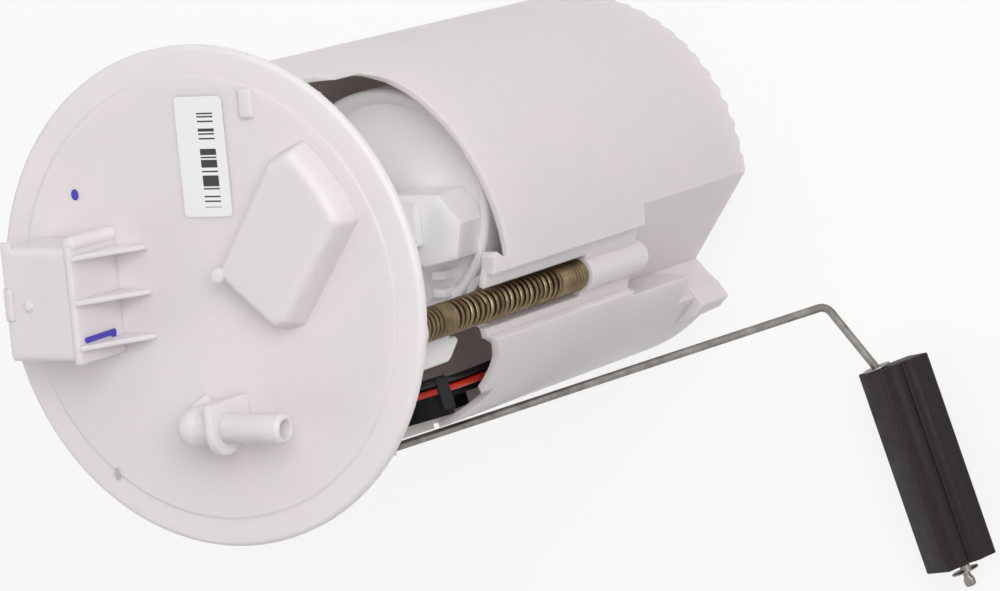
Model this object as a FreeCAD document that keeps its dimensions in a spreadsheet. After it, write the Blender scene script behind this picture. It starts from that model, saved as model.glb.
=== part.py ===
"""In-tank fuel delivery module: flange cover, two sprung guide rods, surge pot,
turbine pump with filter canister, level sender with float, and its valves.

Frame: millimetres, origin at the centre of the flange's seat face, +Z out of the tank,
+X along the hose spigot, +Y towards the label.
"""
import FreeCAD, Part
import math
import os
import re
import Sketcher

Vector = FreeCAD.Vector
Turn = FreeCAD.Rotation

doc = FreeCAD.newDocument("FuelModule")
sheet = doc.addObject("Spreadsheet::Sheet", "Sizes")

# Driving dimensions, in millimetres and degrees
SIZES = {
    # flange cover
    "flange_radius": 68.0,
    "flange_thickness": 2.5,
    "flange_edge": 0.8,
    "crown_radius": 60.0,
    "crown_rise": 0.4,
    "skirt_radius": 59.4,
    "skirt_wall": 2.0,
    "skirt_depth": 6.0,
    "deck_drop": 1.0,
    "plateau_height": 8.4,
    "plateau_draft": 13.0,
    "plateau_round": 2.6,
    "plateau_arc_radius": 56.0,
    # electrical connector on the cover
    "shell_mouth_x": -52.0,
    "shell_back_x": -30.6,
    "shell_low_y": -14.0,
    "shell_high_y": 17.0,
    "shell_base_z": 3.2,
    "shell_top_z": 22.6,
    "shell_wall": 1.8,
    "shell_round": 2.0,
    "socket_depth": 17.0,
    "back_wall": 1.9,
    "gusset_thickness": 1.3,
    "gusset_reach": 11.0,
    "gusset_first_y": -10.3,
    "gusset_pitch": 12.2,
    "blade_width": 2.2,
    "blade_thickness": 0.8,
    "blade_pitch": 5.0,
    "blade_first_y": -8.5,
    "blade_z": 13.0,
    "blade_tip_x": -46.5,
    "blade_drop_x": -35.0,
    "blade_tail_z": -13.0,
    # hose nozzle
    "nozzle_x": 0.4,
    "nozzle_y": -33.0,
    "nozzle_z": 13.6,
    "riser_radius": 5.4,
    "spigot_radius": 3.945,
    "spigot_length": 18.6,
    "spigot_end_x": 29.0,
    "spigot_bevel": 1.0,
    "collar_thickness": 2.2,
    "collar_radius": 7.2,
    "fuel_bore": 2.6,
    "nipple_radius": 4.0,
    "nipple_end_z": -21.0,
    "barb_height": 0.55,
    "barb_length": 3.2,
    # guide rods and springs
    "rod_radius": 3.0,
    "rod_fit": 0.02,
    "rod_end_z": -127.0,
    "rod_top_z": -2.0,
    "front_rod_x": 48.0,
    "front_rod_y": -13.0,
    "rear_rod_x": -48.0,
    "rear_rod_y": 13.0,
    "boss_radius": 6.4,
    "boss_end_z": -20.5,
    "spring_radius": 4.05,
    "spring_wire": 1.3,
    "spring_turns": 24.0,
    "spring_seat_z": -109.0,
    # surge pot
    "pot_radius": 56.1,
    "pot_x": -0.8,
    "pot_y": 1.7,
    "pot_wall": 2.0,
    "pot_foot_z": -198.0,
    "pot_floor_z": -190.0,
    "pot_floor": 2.4,
    "column_top_z": -18.8,
    "channel_wall_radius": 8.4,
    "channel_radius": 6.2,
    "recess_depth": 2.4,
    "channel_top_z": -62.5,
    "sleeve_end_z": -139.0,
    "sleeve_radius": 5.3,
    "slide_fit": 0.06,
    "pocket_top_z": -137.0,
    "notch_top_z": -172.0,
    "nose_top_z": -182.0,
    "scallop_radius": 2.0,
    "scallop_depth": 1.2,
    "scallop_first": 7.75,
    "scallop_pitch": 5.75,
    "scallop_count": 30.0,
    "post_height": 4.0,
    "slot_width": 10.0,
    "slot_end_z": -36.0,
    "slot_top_z": -21.3,
    "slot_azimuth": 66.0,
    "hook_height": 2.8,
    "hook_gap": 0.3,
    "jet_x": -40.5,
    "jet_y": -4.0,
    "jet_height": 6.0,
    "jet_length": 24.0,
    "jet_radius": 4.0,
    "jet_bore": 2.5,
    "foot_valve_x": -26.0,
    "foot_valve_y": -22.0,
    # filter canister and cap
    "can_x": 13.0,
    "can_y": 13.0,
    "can_radius": 31.0,
    "can_wall": 1.8,
    "can_top_z": -76.0,
    "cap_radius": 33.0,
    "cap_top_z": -68.0,
    "cap_lip": 2.8,
    "cap_dish_z": -71.5,
    "cap_wall": 1.8,
    "tower_x": 33.0,
    "tower_y": 8.0,
    "tower_length": 21.0,
    "tower_width": 20.0,
    "tower_top_z": -57.5,
    "outlet_x": -18.0,
    "outlet_y": -6.0,
    "outlet_z": -60.0,
    "regulator_x": 33.0,
    "regulator_y": 8.0,
    "regulator_low_z": -74.5,
    "regulator_radius": 6.0,
    # filter element
    "media_outer": 28.4,
    "media_inner": 22.6,
    "pleats": 18.0,
    # pump
    "pump_radius": 19.0,
    "pump_neck_radius": 6.0,
    "brush_low": 5.3,
    "brush_width": 3.4,
    "case_wall": 1.2,
    "case_low_z": -172.0,
    "case_high_z": -100.0,
    "magnet_thickness": 4.2,
    "magnet_low_z": -152.0,
    "magnet_high_z": -118.0,
    "armature_radius": 13.0,
    "shaft_radius": 2.0,
    "shaft_fit": 0.03,
    "commutator_radius": 9.0,
    "impeller_radius": 15.6,
    "impeller_thickness": 3.6,
    "impeller_z": -166.0,
    "impeller_vanes": 24.0,
    "running_gap": 0.35,
    # level sender and float
    "sender_azimuth": -76.0,
    "arm_plane": 56.0,
    "pivot_along": -19.2,
    "pivot_z": -65.6,
    "arm_tilt": 33.55,
    "arm_length": 157.4,
    "wire_radius": 1.22,
    "wire_bend": 4.0,
    "float_lead": 25.6,
    "float_lead_angle": 24.1,
    "hub_radius": 9.0,
    "hub_thickness": 3.0,
    "hub_reach": 25.0,
    "sender_face": 50.6,
    "seat_gap": 0.3,
    "lead_clip_low": 46.0,
    "lead_clip_high": 40.9,
    "terminal_first": -9.0,
    "terminal_pitch": 3.8,
    "terminal_width": 2.6,
    "float_lean": 2.7,
    "float_drop": 6.4,
    "float_gap": 2.6,
    "float_length": 60.5,
    "float_width": 22.2,
    "float_depth": 17.0,
    "float_edge": 5.4,
    "float_fit": 0.08,
    "washer_radius": 4.2,
    "washer_thickness": 0.5,
    # harness and hose
    "lead_radius": 0.95,
    "hose_radius": 5.2,
    "hose_bore": 4.65,
    "plug_left_x": -41.4,
    "plug_right_x": -27.6,
    "plug_low_y": -11.4,
    "plug_high_y": 14.4,
    "plug_top_z": -3.0,
    "plug_end_z": -24.0,
    "plug_gap": 0.2,
}
for row, (word, size) in enumerate(SIZES.items(), 1):
    sheet.set(f"A{row}", word)
    sheet.set(f"B{row}", str(size))
    sheet.setAlias(f"B{row}", word)
doc.recompute()


def bound(text):
    """A formula with each size's word tied to its cell."""
    return re.sub(r"[a-z_]+[a-z]", lambda m: "Sizes." + m[0] if m[0] in SIZES else m[0], str(text))


def number(text):
    return float(sheet.evalExpression(bound(text)))


def tie(item, **formulas):
    for name, formula in formulas.items():
        item.setExpression(name, bound(formula))
    return item


def place(item, x="0", y="0", z="0", axis=None, turn="0"):
    """Put an item at formulas for its base point, turned about one axis."""
    if axis:
        item.Placement.Rotation = Turn(Vector(*axis), 90)
        item.setExpression("Placement.Rotation.Angle", bound(turn))
    for letter, formula in zip("xyz", (x, y, z)):
        item.setExpression("Placement.Base." + letter, bound(formula))
    return item


def cylinder(name, radius, height, x="0", y="0", z="0", axis=None, turn="90"):
    item = tie(doc.addObject("Part::Cylinder", name), Radius=radius, Height=height)
    return place(item, x, y, z, axis, turn)


def cone(name, low, high, height, x="0", y="0", z="0", axis=None, turn="90"):
    item = tie(doc.addObject("Part::Cone", name), Radius1=low, Radius2=high, Height=height)
    return place(item, x, y, z, axis, turn)


def ball(name, radius, x="0", y="0", z="0"):
    return place(tie(doc.addObject("Part::Sphere", name), Radius=radius), x, y, z)


def box(name, low, high, axis=None, turn="0"):
    """A box from its low corner to its high corner, each three formulas."""
    item = doc.addObject("Part::Box", name)
    for prop, a, b in zip(("Length", "Width", "Height"), low, high):
        item.setExpression(prop, bound(f"({b}) - ({a})"))
    return place(item, *low, axis, turn)


def fuse(name, *items):
    item = doc.addObject("Part::MultiFuse", name)
    item.Shapes = list(items)
    item.Refine = True
    return item


def cut(name, base, *tools):
    item = doc.addObject("Part::Cut", name)
    item.Base = base
    item.Tool = tools[0] if len(tools) == 1 else fuse(name + "Tools", *tools)
    item.Refine = True
    return item


def common(name, *items):
    item = doc.addObject("Part::MultiCommon", name)
    item.Shapes = list(items)
    return item


def ring(name, outer, inner, height, x="0", y="0", z="0"):
    return cut(name, cylinder(name + "Outer", outer, height, x, y, z),
               cylinder(name + "Inner", inner, height, x, y, z))


def plane(body, role):
    return [(next(o for o in body.Origin.OriginFeatures if o.Role == role), "")]


def polygon(owner, name, role, corners, offset="0"):
    """A closed sketch through corners given as pairs of formulas."""
    sketch = owner.newObject("Sketcher::SketchObject", name)
    sketch.AttachmentSupport = plane(owner, role)
    sketch.MapMode = "FlatFace"
    sketch.setExpression("AttachmentOffset.Base.z", bound(offset))
    points = [Vector(number(x), number(y), 0) for x, y in corners]
    count = len(points)
    for i in range(count):
        sketch.addGeometry(Part.LineSegment(points[i], points[(i + 1) % count]), False)
    for i in range(count):
        sketch.addConstraint(Sketcher.Constraint("Coincident", i, 2, (i + 1) % count, 1))
    for i, (point, corner) in enumerate(zip(points, corners)):
        for kind, value, formula in zip(("DistanceX", "DistanceY"), point, corner):
            index = sketch.addConstraint(Sketcher.Constraint(kind, -1, 1, i, 1, value))
            sketch.setExpression(f"Constraints[{index}]", bound(formula))
    return sketch


def circle_sketch(owner, name, role, radius, x="0", y="0", offset="0"):
    sketch = owner.newObject("Sketcher::SketchObject", name)
    sketch.AttachmentSupport = plane(owner, role)
    sketch.MapMode = "FlatFace"
    sketch.setExpression("AttachmentOffset.Base.z", bound(offset))
    centre = Vector(number(x), number(y), 0)
    sketch.addGeometry(Part.Circle(centre, Vector(0, 0, 1), number(radius)), False)
    for kind, place_of, value, formula in (("DistanceX", (0, 3), centre.x, x),
                                           ("DistanceY", (0, 3), centre.y, y)):
        index = sketch.addConstraint(Sketcher.Constraint(kind, -1, 1, *place_of, value))
        sketch.setExpression(f"Constraints[{index}]", bound(formula))
    index = sketch.addConstraint(Sketcher.Constraint("Radius", 0, number(radius)))
    sketch.setExpression(f"Constraints[{index}]", bound(radius))
    return sketch


def prism(name, corners, low, high, role="XY_Plane"):
    """A body padded from a polygon, between two offsets along its plane's normal."""
    body = doc.addObject("PartDesign::Body", name)
    pad = body.newObject("PartDesign::Pad", name + "Pad")
    pad.Profile = polygon(body, name + "Sketch", role, corners, low)
    tie(pad, Length=f"({high}) - ({low})")
    body.Tip = pad
    return body


def turned(name, profile, x="0", y="0"):
    """A body revolved about a vertical axis at x, y from a profile of (radius, z) formulas."""
    body = doc.addObject("PartDesign::Body", name)
    spin = body.newObject("PartDesign::Revolution", name + "Spin")
    sketch = polygon(body, name + "Sketch", "XZ_Plane", profile)
    spin.Profile = sketch
    spin.ReferenceAxis = (sketch, ["V_Axis"])
    body.Tip = spin
    return place(body, x, y)


def moved(name, item, placement):
    """The same piece at another placement."""
    group = doc.addObject("Part::Compound", name)
    group.Links = [item]
    group.Placement = placement
    return group


def sender_place():
    """From the sender's own frame, which faces -Y, to the row's."""
    return FreeCAD.Placement(Vector(0, 0, 0), Turn(Vector(0, 0, 1), 90 + number("sender_azimuth")))


nodes = {}


def node(name, item):
    """Name a finished piece."""
    item.Label = name
    nodes[name] = item
    return item


# Flange cover: seat disc, skirt, drafted plateau, connector, nozzle and rod bosses
def cover_plate():
    """Seat disc with a softened edge, a slightly raised crown and a skirt below."""
    top = "flange_thickness"
    profile = (("0", "-deck_drop"), ("skirt_radius - skirt_wall", "-deck_drop"),
               ("skirt_radius - skirt_wall", "-skirt_depth"), ("skirt_radius", "-skirt_depth"),
               ("skirt_radius", "0"), ("flange_radius", "0"), ("flange_radius", f"{top} - flange_edge"),
               ("flange_radius - flange_edge", top), ("crown_radius + crown_rise", top),
               ("crown_radius", f"{top} + crown_rise"), ("0", f"{top} + crown_rise"))
    return turned("CoverPlate", profile)


def plateau():
    """Raised pad for the parts under it, with drafted sides and round edges."""
    body = doc.addObject("PartDesign::Body", "Plateau")
    arc = [(f"plateau_arc_radius * cos({a})", f"plateau_arc_radius * sin({a})") for a in (26, 34, 42, 49)]
    corners = [("7.2", "7.2"), ("25.5", "-8.3"), ("31.1", "-6.9"),
               ("51.2", "20.9")] + arc + [("27.9", "38.3")]
    pad = body.newObject("PartDesign::Pad", "PlateauPad")
    pad.Profile = polygon(body, "PlateauSketch", "XY_Plane", corners, "flange_thickness")
    tie(pad, Length="plateau_height", TaperAngle="-plateau_draft")
    doc.recompute()
    high = number("flange_thickness + 0.5")
    names = [f"Edge{i + 1}" for i, edge in enumerate(pad.Shape.Edges) if edge.BoundBox.ZMax > high]
    fillet = body.newObject("PartDesign::Fillet", "PlateauRound")
    fillet.Base = (pad, names)
    tie(fillet, Radius="plateau_round")
    body.Tip = fillet
    return body


def connector_shell():
    """Socket shell that opens to -X, its back wall, post, ramp and three gussets."""
    shell = doc.addObject("PartDesign::Body", "Shell")
    corners = [("shell_low_y", "shell_base_z"), ("shell_high_y", "shell_base_z"),
               ("shell_high_y", "shell_top_z"), ("shell_low_y", "shell_top_z")]
    pad = shell.newObject("PartDesign::Pad", "ShellPad")
    pad.Profile = polygon(shell, "ShellSketch", "YZ_Plane", corners, "shell_mouth_x")
    tie(pad, Length="shell_back_x - shell_mouth_x")
    doc.recompute()
    fillet = shell.newObject("PartDesign::Fillet", "ShellRound")
    long_edge = number("shell_back_x - shell_mouth_x") - 0.01
    names = [f"Edge{i + 1}" for i, edge in enumerate(pad.Shape.Edges) if edge.BoundBox.XLength > long_edge]
    fillet.Base = (pad, names)
    tie(fillet, Radius="shell_round")
    shell.Tip = fillet
    socket = box("Socket", ("shell_mouth_x - 1", "shell_low_y + shell_wall", "shell_base_z + shell_wall"),
                 ("shell_mouth_x + socket_depth", "shell_high_y - shell_wall", "shell_top_z - shell_wall"))
    hollow = cut("ShellHollow", shell, socket)
    wall = box("BackWall", ("shell_back_x", "shell_low_y - 0.6", "flange_thickness"),
               ("shell_back_x + back_wall", "shell_high_y + 0.4", "shell_top_z + 0.3"))
    plinth = box("Plinth", ("shell_mouth_x + 6", "shell_low_y + 1.5", "flange_thickness"),
                 ("shell_back_x", "shell_high_y - 1.5", "shell_base_z"))
    post = cylinder("Post", "1.9", "shell_top_z - flange_thickness - 0.6", "shell_back_x + 0.9",
                    "shell_high_y + 0.9",
                    "flange_thickness")
    nub = cone("Nub", "1.5", "1.2", "0.7", "-44.5", "1.3", "shell_top_z")
    ramp = prism("Ramp", [("shell_mouth_x - 0.9", "shell_top_z - 2"),
                          ("shell_mouth_x + 2.4", "shell_top_z - 2"),
                          ("shell_mouth_x + 2.4", "shell_top_z + 1.2"),
                          ("shell_mouth_x - 0.2", "shell_top_z + 0.5")],
                 "-6", "2.6", "XZ_Plane")
    tab = box("MouthTab", ("shell_mouth_x", "shell_high_y - 3", "shell_top_z - 1"),
              ("shell_mouth_x + 3", "shell_high_y + 1.6", "shell_top_z"))
    ribs = []
    for i in range(3):
        y = f"(gusset_first_y + {i} * gusset_pitch)"
        foot, back = "(shell_back_x + back_wall + gusset_reach)", "(shell_back_x + back_wall)"
        corners = [(back, "flange_thickness"), (foot, "flange_thickness"),
                   (f"{foot} - 1", "flange_thickness + 2.5"),
                   (f"{foot} - 4.6", "flange_thickness + 8.5"), (f"{back} + 3", "flange_thickness + 15"),
                   (f"{back} + 0.8", "shell_top_z"), (back, "shell_top_z")]
        ribs.append(prism(f"Gusset{i}", corners, f"-({y}) - gusset_thickness / 2",
                          f"-({y}) + gusset_thickness / 2",
                          "XZ_Plane"))
    return [hollow, wall, plinth, post, nub, ramp, tab] + ribs


def nozzle():
    """Riser with ribs, stop collar and bevelled spigot along +X, and a barbed nipple below."""
    x, y, z = "nozzle_x", "nozzle_y", "nozzle_z"
    riser = cylinder("Riser", "riser_radius", "nozzle_z - flange_thickness", x, y, "flange_thickness")
    dome = ball("RiserDome", "riser_radius", x, y, z)
    trunk = cylinder("Trunk", "riser_radius - 0.6", "spigot_end_x - spigot_length - nozzle_x", x, y, z,
                     (0, 1, 0))
    collar = cylinder("Collar", "collar_radius", "collar_thickness",
                      "spigot_end_x - spigot_length - collar_thickness", y, z, (0, 1, 0))
    plate = box("CollarPlate",
                ("spigot_end_x - spigot_length - collar_thickness", "nozzle_y", "flange_thickness"),
                ("spigot_end_x - spigot_length", "nozzle_y + collar_radius", "nozzle_z + collar_radius"))
    spigot = cylinder("Spigot", "spigot_radius", "spigot_length - spigot_bevel",
                      "spigot_end_x - spigot_length", y, z, (0, 1, 0))
    bevel = cone("SpigotBevel", "spigot_radius", "spigot_radius - spigot_bevel * 0.6", "spigot_bevel",
                 "spigot_end_x - spigot_bevel", y, z, (0, 1, 0))
    pieces = [riser, dome, trunk, collar, plate, spigot, bevel]
    for i, angle in enumerate((120, 165, 210, 255, 300)):
        rib = prism(f"RiserRib{i}", [("0", "0"), ("riser_radius + 2.6", "0"), ("riser_radius + 0.4", "9.5"),
                                     ("0", "9.5")], "-0.6", "0.6", "XZ_Plane")
        pieces.append(place(rib, x, y, "flange_thickness", (0, 0, 1), str(angle)))
    nipple = cylinder("Nipple", "nipple_radius", "-nipple_end_z", x, y, "nipple_end_z")
    pieces.append(nipple)
    for i in range(2):
        pieces.append(cone(f"Barb{i}", "nipple_radius - 0.3", "nipple_radius + barb_height", "barb_length",
                           x, y,
                           f"nipple_end_z + {i} * (barb_length + 1.2) + 0.6"))
    bores = [cylinder("SpigotBore", "fuel_bore", "spigot_end_x - nozzle_x + 1", x, y, z, (0, 1, 0)),
             cylinder("RiserBore", "fuel_bore", "nozzle_z - nipple_end_z + 1", x, y, "nipple_end_z - 1"),
             ball("BoreKnee", "fuel_bore", x, y, z)]
    return pieces, bores


def stop_hook(name, azimuth):
    """Leg inside the pot's column whose hook rides in the column's slot."""
    inside = "pot_radius - pot_wall - 0.6"
    leg = box(name + "Leg", (f"{inside} - 2.4", "-slot_width / 2 + 1.2", "slot_top_z - hook_height"),
              (inside, "slot_width / 2 - 1.2", "0"))
    catch = box(name + "Catch", (inside, "-slot_width / 2 + 1.2", "slot_top_z - hook_height"),
                ("pot_radius - 0.4", "slot_width / 2 - 1.2", "slot_top_z - hook_gap"))
    hook = fuse(name, leg, catch)
    return place(hook, "pot_x", "pot_y", "0", (0, 0, 1), azimuth)


def flange_cover(blades):
    pieces, bores = nozzle()
    bosses = [cylinder(side + "Boss", "boss_radius", "-boss_end_z", side + "_rod_x", side + "_rod_y",
                       "boss_end_z")
              for side in ("front", "rear")]
    holes = [cylinder(side + "RodHole", "rod_radius + rod_fit", "rod_top_z - boss_end_z + 1",
                      side + "_rod_x", side + "_rod_y", "boss_end_z - 1") for side in ("front", "rear")]
    tab = box("SoftTab", ("17.4", "48.4", "flange_thickness"), ("21.4", "56.2", "flange_thickness + 1.3"))
    knob = cylinder("PlateauKnob", "2", "plateau_height + 0.9", "10.4", "7.6", "flange_thickness")
    leg = prism("Leg", [("-25.5", "0"), ("-25.2", "-41.5"), ("-24.3", "-43"), ("-20.4", "-47.2"),
                        ("-19.2", "-46"), ("-19.2", "-42.8"), ("-17.9", "-43"), ("-17.9", "0")],
                "43", "46", "YZ_Plane")
    collar = box("PlugCollar", ("-44", "-13", "-16"), ("-26", "16", "0"))
    hooks = [stop_hook("HookA", "slot_azimuth"), stop_hook("HookB", "180 - slot_azimuth")]
    plug_hollow = box("PlugHollow", ("plug_left_x", "plug_low_y", "-17"),
                      ("plug_right_x", "plug_high_y", "plug_top_z"))
    solid = fuse("CoverSolid", cover_plate(), plateau(), *connector_shell(), *pieces, *bosses, tab, knob,
                 leg, collar, *hooks)
    return node("flange_cover", cut("FlangeCover", solid, *bores, *holes, plug_hollow, blades))


def contact_blades():
    """Five bent contact blades from the socket through the deck to the inner plug."""
    blades = []
    for i in range(5):
        y = f"(blade_first_y + {i} * blade_pitch)"
        flat = box(f"BladeFlat{i}", ("blade_tip_x", f"{y} - blade_width / 2",
                                     "blade_z - blade_thickness / 2"),
                   ("blade_drop_x", f"{y} + blade_width / 2", "blade_z + blade_thickness / 2"))
        tail = box(f"BladeTail{i}", ("blade_drop_x", f"{y} - blade_width / 2", "blade_tail_z"),
                   ("blade_drop_x + blade_thickness", f"{y} + blade_width / 2",
                    "blade_z + blade_thickness / 2"))
        blades.append(fuse(f"Blade{i}", flat, tail))
    return node("contact_blades", fuse("ContactBlades", *blades))


flange_cover(contact_blades())


# Guide rods and their springs
def guide_rod(side):
    """Steel rod with a chamfered foot, pressed into its boss."""
    rod = turned(side + "Rod", [("0", "rod_end_z"), ("rod_radius - 0.8", "rod_end_z"),
                                ("rod_radius", "rod_end_z + 0.8"),
                                ("rod_radius", "rod_top_z"), ("0", "rod_top_z")],
                 side + "_rod_x", side + "_rod_y")
    return node(f"guide_rod_{side}", rod)


def spring(side):
    """Coil spring with closed ends between the boss and the seat in the pot."""
    low = number("spring_seat_z + spring_wire / 2 + 0.02")
    high = number("boss_end_z - spring_wire / 2 - 0.02")
    radius, turns, half = number("spring_radius"), number("spring_turns"), number("spring_wire / 2")
    helix = Part.makeHelix((high - low) / turns, high - low, radius)
    corners = [Vector(radius + half * math.cos(a), 0, half * math.sin(a))
               for a in (math.radians(45 + 90 * i) for i in range(4))]
    section = Part.makePolygon(corners + corners[:1])
    coil = Part.Wire(helix.Edges).makePipeShell([section], True, True)
    item = doc.addObject("Part::Feature", side + "Spring")
    item.Shape = coil
    place(item, side + "_rod_x", side + "_rod_y", str(low))
    return node(f"spring_{side}", item)


# Surge pot: wall, floor, column, rod channels, foot, pocket and seats
def pot_outline():
    """Round pot, open above, its rim cut to the profile seen from the side."""
    pot = doc.addObject("PartDesign::Body", "PotShell")
    pad = pot.newObject("PartDesign::Pad", "PotPad")
    pad.Profile = circle_sketch(pot, "PotRound", "XY_Plane", "pot_radius", "pot_x", "pot_y", "pot_foot_z")
    tie(pad, Length="column_top_z - pot_foot_z")
    hollow = pot.newObject("PartDesign::Pocket", "PotHollow")
    hollow.Profile = circle_sketch(pot, "PotHollowRound", "XY_Plane", "pot_radius - pot_wall", "pot_x",
                                   "pot_y",
                                   "column_top_z")
    tie(hollow, Length="column_top_z - pot_floor_z")
    under = pot.newObject("PartDesign::Pocket", "PotUnderside")
    under.Profile = circle_sketch(pot, "PotUndersideRound", "XY_Plane", "pot_radius - pot_wall", "pot_x",
                                  "pot_y",
                                  "pot_foot_z")
    under.Reversed = True
    tie(under, Length="pot_floor_z - pot_floor - pot_foot_z")
    rim = [("-80", "0"), ("-80", "-80"), ("-46", "-75"), ("-43", "-72.8"), ("-40.3", "-70.6"), ("-36", "-69.6"),
           ("-31.6", "-68.1"), ("-28.5", "-66.6"), ("-25.8", "-64.1"), ("-22.3", "-60.8"), ("-20", "channel_top_z"),
           ("0", "channel_top_z"), ("22", "-59.5"), ("46", "-57.5"), ("49.6", "-56"), ("51.6", "-53"),
           ("53", "-48"), ("53", "0")]
    side = pot.newObject("PartDesign::Pocket", "RimCut")
    side.Profile = polygon(pot, "RimSketch", "YZ_Plane", rim)
    side.Midplane = True
    tie(side, Length="4 * pot_radius")
    pot.Tip = side
    return pot


def polar(radius, angle):
    """Formulas for a point of the pot at a radius and an azimuth about its own axis."""
    return f"pot_x + ({radius}) * cos({angle})", f"pot_y + ({radius}) * sin({angle})"


def rod_channel(side, low_angle, high_angle):
    """Wall, recess, slot and sleeve of one guide rod channel."""
    x, y = f"{side}_rod_x", f"{side}_rod_y"
    wall = cylinder(side + "ChannelWall", "channel_wall_radius", "channel_top_z - pot_foot_z", x, y,
                    "pot_foot_z")
    behind = [polar("pot_radius - recess_depth - pot_wall", f"{low_angle} - 2.5"),
              polar("pot_radius - 0.1", f"{low_angle} - 2.5"),
              polar("pot_radius - 0.1", f"{high_angle} + 2.5"),
              polar("pot_radius - recess_depth - pot_wall", f"{high_angle} + 2.5")]
    band = prism(side + "RecessBacking", behind, "pot_foot_z", "channel_top_z")
    backed = common(side + "ChannelBacking", fuse(side + "ChannelWalls", wall, band),
                    cylinder(side + "ChannelLimit", "pot_radius - 0.1", "200", "pot_x", "pot_y",
                             "pot_foot_z"))
    sector = [polar("pot_radius - recess_depth", low_angle), polar("pot_radius + 4", low_angle),
              polar("pot_radius + 4", high_angle), polar("pot_radius - recess_depth", high_angle)]
    recess = prism(side + "Recess", sector, "pocket_top_z", "-20")
    slot = cylinder(side + "Slot", "channel_radius", "-spring_seat_z", x, y, "spring_seat_z")
    mouth = box(side + "SlotMouth", ("0", "-channel_radius", "spring_seat_z"), ("30", "channel_radius", "0"))
    turn = number(f"atan({y} / {x})") + (180 if number(x) < 0 else 0)
    place(mouth, f"{x} + channel_radius * sin({turn})", f"{y} - channel_radius * cos({turn})",
          "spring_seat_z",
          (0, 0, 1), str(turn))
    sleeve = cylinder(side + "Sleeve", "sleeve_radius", "spring_seat_z - sleeve_end_z", x, y, "sleeve_end_z")
    tip = ball(side + "SleeveTip", "sleeve_radius", x, y, "sleeve_end_z")
    bore = cylinder(side + "Bore", "rod_radius + slide_fit", "spring_seat_z - sleeve_end_z + 1", x, y,
                    "sleeve_end_z")
    return backed, recess, [slot, mouth], [sleeve, tip], bore


def channel_tab():
    """Rounded ends of the front channel's walls, which stand above the rim."""
    outline = [("-22.8", "-66"), ("-22.6", "-61"), ("-18.9", "-57.4"), ("-16.7", "-54.4"), ("-15", "-53.8"),
               ("-4.5", "-53.8"), ("-2.4", "-54.8"), ("1.2", "-54.9"), ("2.3", "-56.4"), ("0.2", "-60.2"),
               ("-0.3", "-66")]
    band = ring("TabBand", "pot_radius - 0.1", "pot_radius - recess_depth - pot_wall", "60", "pot_x",
                "pot_y", "-100")
    return common("ChannelTab", prism("TabOutline", outline, "30", "60", "YZ_Plane"), band)


def scallops():
    """Half-round notches along the foot's edge."""
    notches = []
    for i in range(int(number("scallop_count"))):
        angle = number(f"scallop_first + {i} * scallop_pitch")
        x, y = polar("pot_radius - 5", angle)
        notch = cylinder(f"Scallop{i}", "scallop_radius", "10", x, y,
                         "pot_foot_z - scallop_radius + scallop_depth")
        notch.Placement.Rotation = Turn(angle, 90, 0)
        notches.append(notch)
    return notches


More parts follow.
